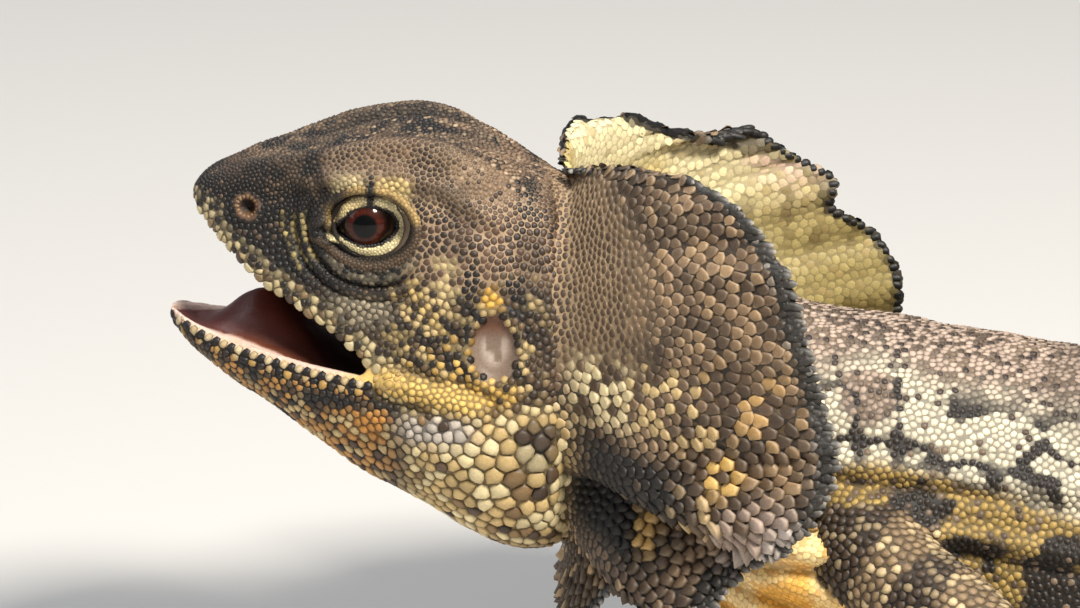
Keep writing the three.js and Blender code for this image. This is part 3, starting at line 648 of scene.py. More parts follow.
class Membrane:
    """A thin sheet over a grid of places, with an outer and an inner face that carry scales."""

    def __init__(self, places, side, columns, rows, outermost, hide=None):
        a, b = np.meshgrid(np.linspace(0, 1, columns + 1), np.linspace(0, outermost, rows + 1), indexing="ij")
        grid = places(side, a, b)
        if hide:
            grid, a, b = led_in(grid, a, b, hide)
            rows = grid.shape[1] - 1
        along = np.gradient(grid, axis=0)
        outward = np.gradient(grid, axis=1)
        facing = unit(np.cross(along, outward))
        if facing[columns // 2, rows // 2, 1] * side < 0:
            facing = -facing
        self.lie = unit(outward).reshape(-1, 3)
        self.marks = np.stack([a, b], -1).reshape(-1, 2)
        self.middle = grid
        self.facing = facing
        index = np.arange(grid.shape[0] * grid.shape[1]).reshape(grid.shape[:2])
        p, q, r, t = index[:-1, :-1], index[1:, :-1], index[1:, 1:], index[:-1, 1:]
        self.face = grid_faces(p, q, r, t)
        self.index = index

    def half(self, outer):
        """One face of the sheet as points and triangles that turn outwards."""
        sign = 1 if outer else -1
        points = (self.middle + sign * SHEET / 2 * self.facing).reshape(-1, 3)
        normals = point_normals(points, self.face)
        agree = (normals * self.facing.reshape(-1, 3)).sum() * sign > 0
        return points, self.face if agree else self.face[:, ::-1]

    def hide(self, outer):
        return Hide(*self.half(outer), SheetPlace, np.c_[self.marks, self.lie])

    def body(self):
        """The whole sheet, closed round its edge."""
        top, faces = self.half(True)
        bottom, under = self.half(False)
        count = len(top)
        edge = np.r_[self.index[:, 0], self.index[-1, 1:], self.index[-2::-1, -1], self.index[0, -2:0:-1]]
        after = np.roll(edge, -1)
        wall = np.r_[np.c_[edge, after, after + count], np.c_[edge, after + count, edge + count]]
        if not (faces == self.face).all():
            wall = wall[:, ::-1]
        return np.r_[top, bottom], np.r_[faces, under + count, wall[:, ::-1]]


class SheetPlace:
    """Where points of a membrane's face are on it."""

    def __init__(self, points, marks):
        self.points = points
        self.a, self.b = marks[:, 0], marks[:, 1]
        self.lie = unit(marks[:, 2:5])


def buried(places, cover, depth=0.12):
    """Whether places lie under a surface."""
    where, normals, _ = cover.nearest(places)
    off = places - where
    return ((off * normals).sum(1) < -depth) & (length(off) < 4)


# Scales: places spread evenly over a surface, each grown to meet its neighbours

def tree_of(rows):
    tree = KDTree(len(rows))
    for i, place in enumerate(rows):
        tree.insert(place, i)
    tree.balance()
    return tree


def neighbours(places, count):
    rows = places.tolist()
    tree = tree_of(rows)
    found = [[hit[1] for hit in tree.find_n(place, count + 1)] for place in rows]
    return np.array(found)[:, 1:]


def spread(hide, size, grows, crowd=5, rounds=6):
    """Places about size apart all over the part of a surface that grows scales."""
    corners = hide.points[hide.triangles]
    across = np.cross(corners[:, 1] - corners[:, 0], corners[:, 2] - corners[:, 0])
    at = hide.describe(corners.mean(1), hide.marks[hide.triangles].mean(1))
    wanted = size(at)
    density = length(across) / wanted ** 2 * grows(at)
    count = int(crowd * density.sum())
    pick = np.searchsorted(np.cumsum(density) / density.sum(), rng.random(count))
    u, v = rng.random((2, count))
    over = u + v > 1
    u[over], v[over] = 1 - u[over], 1 - v[over]
    a, b, c = corners[pick].transpose(1, 0, 2)
    places = a + u[:, None] * (b - a) + v[:, None] * (c - a)
    reach = 0.84 * wanted[pick]
    rows = places.tolist()
    tree = tree_of(rows)
    free = bytearray(b"\x01") * count
    chosen = []
    for i, place in enumerate(rows):
        if free[i]:
            chosen.append(i)
            for hit in tree.find_range(place, reach[i]):
                free[hit[1]] = 0
    places, normals, marks = hide.nearest(places[chosen])
    for _ in range(rounds):
        own = size(hide.describe(places, marks))
        near = neighbours(places, 7)
        apart = places[:, None] - places[near]
        far = np.maximum(length(apart), 1e-6)
        want = 0.54 * (own[:, None] + own[near])
        push = np.clip(want - far, 0, None)
        move = (apart / far[..., None] * push[..., None]).sum(1) * 0.45
        places, normals, marks = hide.nearest(places + move)
    at = hide.describe(places, marks)
    kept = grows(at) > 0.5
    places, normals, marks = places[kept], normals[kept], marks[kept]
    return places, normals, hide.describe(places, marks)


def cells(places, normals, lie, own, sides, space, overlap):
    """How far each scale reaches at even turns from its lie before it meets a neighbour, less a space.
    With an overlap its rear end is drawn out over the scale behind."""
    near = neighbours(places, 13)
    across = unit(np.cross(normals, lie))
    along = np.cross(across, normals)
    off = places[near] - places[:, None]
    x = (off * along[:, None]).sum(-1)
    y = (off * across[:, None]).sum(-1)
    far = np.maximum(np.hypot(x, y), 1e-6)
    wall = far * own[:, None] / (own[:, None] + own[near])
    wall[(normals[near] * normals[:, None]).sum(-1) < 0.1] = 99
    turn = even_turns(sides)
    facing = (x[..., None] * np.cos(turn) + y[..., None] * np.sin(turn)) / far[..., None]
    reach = np.where(facing > 0.1, wall[..., None] / np.maximum(facing, 0.1), 99).min(1)
    reach = np.minimum(reach, 0.74 * own[:, None])
    reach = np.maximum(reach - space[:, None], 0.25 * own[:, None])
    behind = np.clip(np.cos(turn), 0, 1) ** 3
    return reach * (1 + overlap[:, None] * behind), along, across


class Scales:
    """Solid scales gathered from several surfaces, made into one piece."""

    def __init__(self):
        self.points, self.triangles, self.colours, self.maps, self.count = [], [], [], [], 0

    def add(self, points, triangles, colours, maps):
        self.points.append(points)
        self.triangles.append(triangles + self.count)
        self.colours.append(colours)
        self.maps.append(maps)
        self.count += len(points)

    def make(self, name, slot, material):
        piece = make_mesh(
            name, np.concatenate(self.points), np.concatenate(self.triangles), np.concatenate(self.colours),
            np.concatenate(self.maps))
        piece.data.materials.append(material)
        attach(piece, "root")
        return piece


# A ring of a scale is (share of its reach, share of its height, shade). A shade of 0 is the gap's colour,
# 1 the edge's and 2 the centre's.
SMALL = {"sides": 7, "rings": [(1.04, -0.5, 0), (0.9, 0.62, 1)]}
LARGE = {"sides": 10, "rings": [(1.03, -0.5, 0), (0.93, 0.5, 1), (0.6, 0.9, 1.7)]}
LARGE_FROM = 1.45
PATCH = 0.0014


class Crop:
    """The scales of one surface, with all that it takes to build each of them."""

    def __init__(self, places, normals, at, own, look, unwrap):
        self.values = {"place": places, "normal": normals, "own": own, "root": unwrap(at), **look(at, own)}
        space, overlap = self.values.pop("space"), self.values.pop("overlap")
        self.cells = {}
        for shape in (SMALL, LARGE):
            sides = shape["sides"]
            self.cells[sides], along, across = cells(
                places, normals, at.lie, own, sides, space, overlap * (shape is LARGE))
        self.values.update(along=along, across=across)
        self.large = own > LARGE_FROM

    def add_to(self, store, keep=True):
        for shape, suits in ((SMALL, ~self.large), (LARGE, self.large)):
            chosen = suits & keep
            if chosen.any():
                values = {key: value[chosen] for key, value in self.values.items()}
                add_scales(store, shape, values, self.cells[shape["sides"]][chosen])


def add_scales(store, shape, values, reach):
    """Builds scales as domes of a few rings over their cells."""
    sides, rings, count = shape["sides"], len(shape["rings"]), len(reach)
    turn = even_turns(sides)
    shades = np.stack([values["gap"], values["edge"], values["centre"]], 1)
    wide = values["own"][:, None]
    points, colours, maps = [], [], []
    for share, rise, shade in shape["rings"] + [(0, 1, 2)]:
        spokes = turn if share else turn[:1]
        x = share * reach[:, :len(spokes)] * np.cos(spokes)
        y = share * reach[:, :len(spokes)] * np.sin(spokes)
        ridge = values["keel"][:, None] * np.exp(-((y / (0.22 * wide)) ** 2)) * (0.6 + 0.5 * x / wide)
        raised = values["height"][:, None] * rise + (rise > 0) * (values["tilt"][:, None] * x + ridge)
        points.append(
            values["place"][:, None] + values["along"][:, None] * x[..., None]
            + values["across"][:, None] * y[..., None] + values["normal"][:, None] * raised[..., None])
        points[-1][..., 2] = np.maximum(points[-1][..., 2], 0.03)
        low = min(int(shade), 1)
        tone = shades[:, low] * (1 + low - shade) + shades[:, low + 1] * (shade - low)
        colours.append(np.repeat(tone[:, None], len(spokes), 1))
        patch = PATCH * share * np.stack([np.cos(spokes), np.sin(spokes)], -1)
        maps.append(values["root"][:, None] + patch[None])
    k = np.arange(sides)
    one = tube(sides, rings)
    one.append(np.c_[k, (k + 1) % sides, np.full(sides, sides)] + (rings - 1) * sides)
    store.add(copies(points), repeat_faces(one, rings * sides + 1, count), copies(colours), copies(maps))


def even_turns(sides):
    return 2 * math.pi * (np.arange(sides) + 0.5) / sides


def tube(sides, rings):
    """Triangles between rings of points, one list for each half of the four-sided faces."""
    k = np.arange(sides)
    after = (k + 1) % sides
    faces = []
    for low in range(0, (rings - 1) * sides, sides):
        faces.append(np.c_[k, after, after + sides] + low)
        faces.append(np.c_[k, after + sides, k + sides] + low)
    return faces


def copies(rings):
    """Rings of values for many like pieces, as one row for each point."""
    joined = np.concatenate(rings, 1)
    return joined.reshape(-1, joined.shape[-1])


def repeat_faces(faces, each, count):
    faces = np.concatenate(faces)
    return (faces[None] + each * np.arange(count)[:, None, None]).reshape(-1, 3)


# Colours. Each field says what the scales of a place look like; the skin below is a darker mean of them.

def tones(ground, count):
    return np.repeat(rgb(ground)[None], count, 0)


def blend(colours, other, share):
    share = np.clip(share, 0, 1)[:, None]
    return colours * (1 - share) + rgb(other) * share


def painted(colours, *coats):
    """Colours with others laid over them in turn, each given as (colour, share)."""
    for other, share in coats:
        colours = blend(colours, other, share)
    return colours


def mixed(colours, others, share):
    """Colours run into others, by a share for each place."""
    share = share[:, None]
    return colours * (1 - share) + others * share


# Patches on the side of the head: s, height, half length, half height, colour, share of the scales
HEAD_PATCHES = (
    (24.4, 89.2, 2.6, 1.5, "e6d09c", 1.0),
    (30.6, 88.6, 2.6, 1.9, "e2c684", 1.0),
    (27.3, 88.6, 0.75, 2.6, "1b140f", 1.0),
    (25.5, 70.4, 5.0, 2.2, "a3957c", 0.85),
    (38.4, 76, 1.8, 3.0, "d8c08a", 0.75),
    (45.2, 73.4, 1.5, 1.5, "e3b04a", 1.0),
    (48.6, 73.8, 2.0, 2.6, "1d1612", 0.8),
    (41.4, 75.6, 2.0, 2.6, "1d1612", 0.5),
    (45.2, 59.4, 3.4, 1.9, "e2b75f", 0.8),
    (40.2, 64.6, 2.2, 3.6, "d9ad5a", 0.5),
    (50.4, 86.4, 1.4, 2.6, "1d1612", 0.85),
    (38.8, 63.4, 3.4, 2.2, "e0b662", 0.5),
    (31.0, 66.5, 2.4, 1.6, "c9ad74", 0.6),
    (37.0, 53.8, 5.4, 2.2, "c2b7aa", 0.85),
    (26.5, 53.5, 3.4, 2.4, "cf8f3f", 0.6),
    (22.0, 57.2, 5.0, 1.0, "1b1511", 0.8),
    (31.0, 57.4, 4.0, 0.9, "1b1511", 0.85),
    (52.0, 52.0, 2.4, 3.0, "4a3c30", 0.8),
)


def head_colours(at, pick):
    """The colour of the head's scales; pick gives a random value for each."""
    s, z, count = at.s, at.z, len(at.s)
    wide = np.abs(at.y)
    lip = z - LIP_HEIGHT(s)
    rim = RIM_HEIGHT(s) - z
    cloud = noise(at.points, 5, 7)
    small = noise(at.points, 2.4, 15)
    colour = blend(tones("3f2f23", count), "604a37", step(0.3, 0.7, cloud))
    top = step(84, 88, z) * step(6, 12, s)
    colour = painted(
        colour,
        ("8d755b", top * step(0.4, 0.6, small) * (pick < 0.6)),
        ("1a1410", top * step(0.45, 0.3, small) * (pick < 0.75) * 0.9),
        ("b79e7e", top * (pick > 0.87)))
    nape = step(38, 46, s) * step(76, 81, z)
    colour = blend(colour, "8f7359", nape * (pick < 0.65) * 0.8)
    colour = blend(colour, "b49b80", nape * (pick > 0.86) * 0.8)
    # Painted shade: a dark tint in the carved groove between the brow ridges.
    valley_shade = top * step(16, 22, s) * step(46, 40, s) * hill(wide, BROW_WIDTH(s) - 4, 2)
    colour = blend(colour, "221a14", valley_shade * 0.8)
    dome = step(86, 89, z) * step(18, 22, s) * step(41, 35, s)
    dome = dome * step(BROW_WIDTH(s) - 2.5, BROW_WIDTH(s) - 1, wide)
    colour = blend(colour, "563e2b", dome * 0.75)
    snout = step(28, 20, s) * step(70, 76, z)
    colour = painted(
        colour,
        ("1c1510", snout * step(90, 86, z) * 0.95),
        ("6b5541", snout * (pick < 0.13) * 0.8),
        ("14100d", snout * (pick > 0.82) * step(78, 84, z) * 0.8),
        ("0f0b08", hill(s, 17, 6) * hill(z, 77, 5) * 0.7))
    temple = step(33, 38, s) * step(72, 78, z) * step(88, 84, z)
    colour = painted(
        colour,
        ("4a3526", temple * 0.8),
        ("2c2018", temple * (pick < 0.3) * 0.7),
        ("745844", temple * (pick > 0.72) * 0.8))
    rows = np.sin(2 * math.pi * (0.72 * (s - 28) + 0.7 * (z - 62)) / 3.9 + 6 * cloud)
    cheek = step(26, 31, s) * step(55, 49, s) * step(57, 60, z) * step(78, 73, z)
    colour = painted(
        colour,
        ("1b1511", cheek * 0.75),
        ("cbb07c", cheek * (rows > -0.1) * (pick < 0.62)),
        ("d9b362", cheek * (rows > 0) * (pick < 0.2) * step(38, 30, s + z - 66)),
        ("6a543b", cheek * (rows < 0.2) * (pick > 0.72)))
    jowl = step(29, 35, s) * step(59, 55, z) * step(31, 36, z)
    colour = painted(
        colour,
        ("cdb078", jowl * (pick < 0.82)),
        ("e6d3a3", jowl * (pick < 0.36)),
        ("8b6f49", jowl * (pick > 0.9)))
    chin = (rim > 0) * step(34, 27, s)
    colour = painted(
        colour,
        ("4b3523", chin),
        ("191310", chin * step(0.5, 0.42, small) * (pick < 0.85)),
        ("b98746", chin * (pick < 0.5) * step(0.35, 0.5, cloud)),
        ("cdb27d", chin * (pick > 0.7) * step(3, 8, rim)))
    for s0, z0, long, high, tone, share in HEAD_PATCHES:
        patch = np.exp(-(((s - s0) / long) ** 4) - ((z - z0) / high) ** 4) * (wide > 6)
        colour = blend(colour, tone, 1.3 * patch * (pick < share))
    for start, end in ((32.4, 77.2), (34.6, 72.6)), ((34.6, 72.6), (38, 68.4)):
        beads = step(1.1, 0.6, segment_gap(s, z, start, end))
        colour = blend(colour, "d6b775", beads * (pick < 0.8))
    from_eye = eye_gap(at)
    ahead = step(-0.72, -0.86, (s - EYE_S) / np.maximum(from_eye, 1)) * step(EYE_Z + 2, EYE_Z, z)
    beneath = step(-0.2, -0.7, (z - EYE_Z) / np.maximum(from_eye, 1)) * (1 - ahead)
    near_eye = np.maximum(ahead, beneath) * step(13.6, 13, from_eye) * step(5.6, 6.6, from_eye) * (wide > 6)
    near_eye = near_eye * step(36, 32, s)
    colour = blend(colour, "1a130e", near_eye * step(12.4, 11, from_eye + 1.5 * beneath))
    stripes = step(0.1, 0.5, np.cos(2 * math.pi * (from_eye - 8.3) / 1.45)) * step(8.6, 9.4, from_eye)
    colour = blend(colour, "d9c07e", 1.2 * near_eye * stripes * ahead)
    colour = blend(colour, "8f8269", near_eye * hill(from_eye, 8.3, 0.8) * beneath * (pick < 0.7))
    upper = step(5.6, 3.4, lip) * (lip > -2) * step(34, 29, s)
    colour = painted(
        colour,
        ("2c2119", upper * 0.9),
        ("cbb78b", upper * (pick < 0.55)),
        ("8c7450", upper * (pick > 0.88)))
    front = step(6, 3, s) * step(86, 83, z) * (rim < -3)
    colour = blend(colour, "d3bf95", front * (pick < 0.6))
    corner = hill(segment_gap(s, z, (29.5, 60.6), (42, 58.2)), 0, 1.7)
    colour = blend(colour, "e8c06a", corner * 1.4)
    under = step(16, 9, wide) * step(60, 52, z) * step(34, 42, s)
    return blend(colour, "c7b08a", under * (pick < 0.7))


def body_colours(at, pick):
    s, h, count = at.s, at.height, len(at.s)
    points = at.points
    cloud = noise(points, 8, 3)
    colour = blend(tones("84705c", count), "5b4939", step(0.4, 0.7, cloud))
    colour = blend(colour, "c3ab98", (pick < 0.55) * step(0.7, 0.95, h))
    colour = blend(colour, "3b2d24", (pick > 0.88) * step(0.7, 0.95, h))
    edge = h + 0.1 * (noise(points, 9, 13) - 0.5)
    low = step(0.22, 0.34, edge) * step(0.74, 0.68, edge)
    colour = blend(colour, "bd9d55", low * 0.85 * (pick < 0.8))
    colour = blend(colour, "2c2219", low * step(0.47, 0.56, noise(points, 3.2, 6)) * (pick < 0.82))
    flank = step(0.64, 0.7, edge) * step(0.97, 0.86, edge)
    patch = noise(points, 11, 4) + 0.2 * step(180, 120, s)
    colour = blend(colour, "e0d5bb", flank * step(0.36, 0.44, patch) * (pick < 0.92))
    veins = np.abs(noise(points * [1, 1, 1.3], 6.2, 9) - 0.5)
    colour = blend(colour, "2a2019", flank * step(0.085, 0.06, veins))
    belly = step(0.22, 0.1, h)
    colour = blend(colour, "cdbd9a", belly * 0.9)
    saddle = step(0.3, 0.75, np.sin(2 * math.pi * s / 34 + 3 * noise(points, 20, 8)))
    colour = blend(colour, "4a3a2d", saddle * step(0.62, 0.8, h) * 0.45 * step(105, 140, s))
    tail = step(222, 250, s) * (at.limb < 0)
    ring = step(0.15, 0.6, np.sin(2 * math.pi * (s - 232) / (30 + 0.03 * (s - 232))))
    tail_colour = blend(tones("6b5844", count), "3a2e24", ring)
    tail_colour = blend(tail_colour, "a38c70", (pick < 0.22) * (1 - ring))
    tail_colour = blend(tail_colour, "b9a88a", 0.6 * step(0.3, 0.05, h))
    tail_colour = blend(tail_colour, "2e2620", step(420, 640, s) * 0.55)
    colour = mixed(colour, tail_colour, tail)
    limb = (at.limb >= 0).astype(float)
    bars = step(-0.1, 0.5, np.sin(2 * math.pi * at.down / 13 + 2 * noise(points, 9, 2)))
    limb_colour = blend(tones("947b5b", count), "4a3a2b", bars)
    limb_colour = blend(limb_colour, "cfb68b", (pick < 0.36) * (1 - 0.6 * bars))
    limb_colour = blend(limb_colour, "c9b78f", 0.8 * step(0.62, 0.85, np.abs(at.side)))
    return mixed(colour, limb_colour, limb)


def skin_colours(at, pick):
    """Head and body colours, run into each other over the neck."""
    return mixed(body_colours(at, pick), head_colours(at, pick), step(66, 54, at.s) * (at.limb < 0))


def netted(at):
    """Where the head's scales are flat and brown with pale outlines, from 0 to 1."""
    back = step(30, 35, at.s) * step(72, 77, at.z) * step(90, 86, at.z)
    dome = step(19, 22, at.s) * step(88, 90, at.z) * (np.abs(at.y) > BROW_WIDTH(at.s) - 2)
    return at.head * np.maximum(back, 0.7 * dome) * (0.5 + 0.5 * step(0.3, 0.5, noise(at.points, 5, 12)))


def skin_look(at, own):
    pick = rng.random(len(at.s))
    centre = skin_colours(at, pick)
    net = netted(at)[:, None]
    fine = rng.random((len(centre), 1))
    shade = 1 - 0.45 * at.head * step(0.62, 0.36, noise(at.points, 4.5, 21)) * step(60, 66, at.z)
    centre = centre * (0.8 + 0.4 * fine) * (1 - 0.2 * net) * shade[:, None]
    jowl = step(1.4, 2.2, own)
    body = step(56, 70, at.s) * (at.limb < 0)
    crown = at.head * step(84, 88, at.z) * (1 - net[:, 0])
    return {
        "centre": centre,
        "edge": centre * (0.7 + 0.15 * net),
        "gap": (centre * 0.1 + rgb("130e0b") * 0.6) * (1 - net)
        + (centre * 0.45 + rgb("b89d80") * 0.55) * net * (0.4 + 0.6 * shade[:, None]),
        "height": own * (0.19 + 0.07 * jowl) * (1 - 0.5 * net[:, 0]) * (1 - 0.3 * body),
        "tilt": 0.12 - 0.05 * jowl + 0.1 * body + 0.14 * crown + 0.1 * (at.limb >= 0),
        "keel": own * (0.04 * (1 - jowl) + 0.1 * crown),
        "overlap": 0.12 * jowl + 0.2 * body + 0.25 * (at.limb >= 0),
        "space": 0.04 - 0.01 * net[:, 0] + 0.03 * jowl,
    }


def skin_unwrap(at):
    """Body and tail laid out by s and angle, with a tile below for each limb."""
    trunk = np.stack([
        0.01 + 0.98 * np.sqrt(np.clip((at.s + 6) / (TIP + 6), 0, 1)),
        0.26 + 0.73 * (at.angle / math.pi + 1) / 2], -1)
    tile = np.stack([
        0.01 + 0.24 * at.limb + 0.23 * np.clip(at.down / 140, 0, 1),
        0.01 + 0.22 * (np.clip(at.side, -1, 1) + 1) / 2], -1)
    return np.where((at.limb >= 0)[:, None], tile, trunk)


def skin_size(at):
    s, z = at.s, at.z
    crown = step(82, 86, z)
    head = 0.88 - 0.2 * crown + 0.14 * noise(at.points, 6, 5)
    head = head + 0.12 * step(34, 40, s) * (1 - crown) - 0.12 * step(24, 14, s)
    cheek = step(24, 32, s) * step(78, 72, z)
    head = head + 0.04 * cheek - 0.2 * hill(segment_gap(s, z, (30, 60.6), (46, 58)), 0, 2.4)
    jowl = step(28, 38, s) * step(59, 53, z)
    head = head * (1 - jowl) + jowl * (1.45 + 1.35 * hill(s, 48, 8) * hill(z, 47, 8))
    jaw = step(34, 28, s) * (z < RIM_HEIGHT(s))
    head = np.where(jaw > 0, 1 + 0.5 * step(2, 12, RIM_HEIGHT(s) - z), head)
    lip = z - LIP_HEIGHT(s)
    head = np.where((lip > 0) & (s < 30), head + 0.35 * step(6, 3.5, lip), head)
    body = 1.02 + 0.16 * step(0.35, 0.1, at.height) + 0.4 * step(70, 54, s) * step(60, 50, z)
    body = body + 0.2 * step(120, 190, s) + 0.2 * step(225, 300, s)
    limb = 1.0 + 0.38 * step(3, 7, at.radius)
    size = np.where(at.limb >= 0, limb, np.where(s < 56, head, body))
    return np.where(at.limb >= 0, size, size * (1 - 0.35 * step(420, 680, s)))


def skin_grows(at):
    wide = np.abs(at.y)
    bare = (wide > 8) & (ear_gap(at) < 1) | (wide > 5) & ((lid_gap(at) < 1.62) | (nostril_gap(at) < 1.9))
    lip = at.head & (at.s < 29.2) & (np.abs(at.z - LIP_HEIGHT(at.s) - 0.8) < 1.6) & ~at.mouth
    rim = at.head & (at.s < 27.8) & (np.abs(RIM_HEIGHT(at.s) - at.z - 0.7) < 1.8) & ~at.mouth
    between = at.head & (at.s < 33) & (at.z < LIP_HEIGHT(at.s) - 0.6) & (at.z > RIM_HEIGHT(at.s) + 0.6)
    return (~(at.head & bare | at.mouth | lip | rim | between)).astype(float)


def mouth_tint(at):
    """The lining: pink at the rim, darker inwards and backwards, with a red-brown tongue. The darkening, and
    the near-black roof, are partly the lining's own colour and partly painted shade under the upper jaw.
    """
    wide = np.abs(at.y)
    ahead = step(34, 8, at.s)
    roof = at.z > np.maximum(RIM_HEIGHT(at.s), MOUTH_FLOOR(at.s) + TONGUE_RISE(at.s)) + 1
    # Darker backwards and inwards: partly the lining's own red-brown, partly painted shade under the upper
    # jaw.
    low = blend(tones("2a0f0a", len(at.s)), "7a3f27", ahead * step(0.4, 0.95, wide / RIM_WIDTH(at.s)))
    low = blend(low, "5a2417", ahead * step(0.75, 0.5, wide / RIM_WIDTH(at.s)))
    shelf = step(3.2, 2.2, RIM_WIDTH(at.s) - wide) * step(3, 1.5, RIM_HEIGHT(at.s) - at.z)
    shelf = shelf * step(33, 29, at.s)
    low = blend(low, "e0c2b2", shelf)
    low = blend(low, "e0bd76", shelf * step(20, 29, at.s))
    high = blend(tones("1f0b07", len(at.s)), "6a3626", ahead * 0.8)
    return np.where(roof[:, None], high, low)


def skin_tint(at):
    """The colour of the skin between the scales, and of the parts that have none."""
    colour = skin_colours(at, np.full(len(at.s), 0.5)) * 0.3
    colour = blend(colour, "a3896c", 0.9 * netted(at))
    mouth = at.mouth.astype(float)
    colour = mixed(colour, mouth_tint(at), mouth)
    lip = at.head * ~at.mouth * step(33, 30, at.s) * step(1.4, 0.9, np.abs(RIM_HEIGHT(at.s) - at.z))
    colour = blend(colour, "d2b49c", lip)
    colour = blend(colour, "dfb968", lip * step(18, 28, at.s))
    ear = at.head * (np.abs(at.y) > 8) * step(1.15, 1, ear_gap(at))
    colour = painted(
        colour,
        ("7d6a5b", ear),
        ("b5a699", ear * step(0.75, 0.3, ear_gap(at)) * step(0.3, 0.55, noise(at.points, 1.3, 3))),
        # Painted shade: reddish brown along the top of the eardrum, under the rim of its recess.
        ("5f3a27", ear * step(66.5, 69.5, at.z)))
    nostril = nostril_gap(at)
    around = at.head * (np.abs(at.y) > 4)
    # Painted shade: near black in the nostril's shallow pit and in the socket round the eyeball, standing for
    # these openings in shadow.
    colour = painted(
        colour,
        ("5f452f", around * step(2.3, 1.9, nostril)),
        ("1d100a", around * step(1.2, 0.9, nostril)),
        ("1d140e", around * step(1.3, 1, lid_gap(at))))
    wet = np.clip(mouth * step(20, 6, at.s) + 0.35 * ear, 0, 1)
    return colour, wet


# Rows of scales that keep their places: the lips, the lower jaw's rim and round the nostrils

# Half width and height of the edge that a row follows, first and last s, height of the row above the edge,
# size of its scales, and their colours in turn
MOUTH_ROWS = (
    (LIP_WIDTH, LIP_HEIGHT, 0.8, 29, 0.75, 1.6, ("dccb9f", "8c7450", "d4c192", "c4b084", "4a3a2b")),
    (LIP_WIDTH, LIP_HEIGHT, 1.4, 27.5, 2.2, 1.4,
     ("2b2119", "cdb88a", "6b563d", "c4b083", "2b2119", "bfa878")),
    (RIM_WIDTH, RIM_HEIGHT, -2.9, 27.4, -1.25, 1.2, ("16110e", "d2bd96", "16110e", "c5ac80")),
    (RIM_WIDTH, RIM_HEIGHT, -2.5, 27.4, -2.45, 1.4, ("14100d", "b8924f", "2a1e15", "b39768")),
)
NOSTRIL_RING = {"count": 15, "radius": 1.45, "size": 0.62, "colour": "86684a"}


def edge_rows():
    """Each row as points near the skin, the size of its scales and their colours."""
    rows = []
    for side in SIDES:
        for width, height, start, end, lift, size, colours in MOUTH_ROWS:
            s = np.arange(start, end, size * 0.95)
            line = body_point(s, side * (width(s) + 0.6), height(s) + lift)
            rows.append((line, size, [colours[i % len(colours)] for i in range(len(s))]))
        turn = even_turns(NOSTRIL_RING["count"])
        s = NOSTRIL_S + NOSTRIL_RING["radius"] * np.cos(turn)
        ring = body_point(s, side * 11, NOSTRIL_Z + NOSTRIL_RING["radius"] * np.sin(turn))
        rows.append((ring, NOSTRIL_RING["size"], [NOSTRIL_RING["colour"]] * len(turn)))
    return rows


def on_skin(hide, line):
    """The places of a row, moved sideways on to the skin."""
    found = []
    for x, y, z in line:
        hit = hide.tree.ray_cast((x, 3 * y, z), (0, -math.copysign(1, y), 0))[0]
        found.append(hit or (x, y, z))
    return np.array(found)


def skin_scales(hide):
    """Places, normals, sizes and fixed colours of all the skin's scales."""
    places, normals, at = spread(hide, skin_size, skin_grows)
    own = skin_size(at)
    fixed = [""] * len(places)
    for line, size, colours in edge_rows():
        where, facing, _ = hide.nearest(on_skin(hide, line))
        places, normals = np.r_[places, where], np.r_[normals, facing]
        own = np.r_[own, np.full(len(where), size)]
        fixed += colours
    return places, normals, own, fixed


class FixedLook:
    """The skin's look, with the colours of the rows put in."""

    def __init__(self, fixed):
        self.at = np.array([bool(colour) for colour in fixed])
        self.colours = np.array([rgb(colour) for colour in fixed if colour])

    def __call__(self, at, own):
        look = skin_look(at, own)
        jitter = 0.88 + 0.24 * rng.random((len(self.colours), 1))
        look["centre"][self.at] = self.colours * jitter
        look["edge"][self.at] = self.colours * jitter * 0.75
        return look


# Colours of the frill and of the fold below it

# Patches on the outside of a frill: place from nape to throat, place from root to rim, half sizes, colour,
# share of the scales
FRILL_PATCHES = (
    (0.485, 0.16, 0.05, 0.13, "e4d2a4", 0.62),
    (0.48, 0.42, 0.05, 0.17, "cbb07a", 0.3),
    (0.465, 0.7, 0.045, 0.16, "ab8752", 0.4),
    (0.605, 0.3, 0.05, 0.2, "15100c", 0.9),
    # Painted shade: near black where the hollow of the deepest pleat lies in shadow below its upper edge.
    (0.7, 0.3, 0.034, 0.28, "0e0a08", 1.0),
    (0.7, 0.5, 0.016, 0.06, "c29a52", 1.0),
    (0.555, 0.59, 0.022, 0.06, "d9b060", 0.7),
    (0.62, 0.6, 0.04, 0.12, "cdb180", 0.3),
    (0.63, 0.77, 0.05, 0.13, "a8958b", 0.85),
    (0.645, 0.92, 0.05, 0.07, "dad0ca", 0.85),
    (0.52, 0.95, 0.035, 0.06, "948d89", 0.8),
    (0.72, 0.9, 0.03, 0.1, "201d1b", 0.95),
)


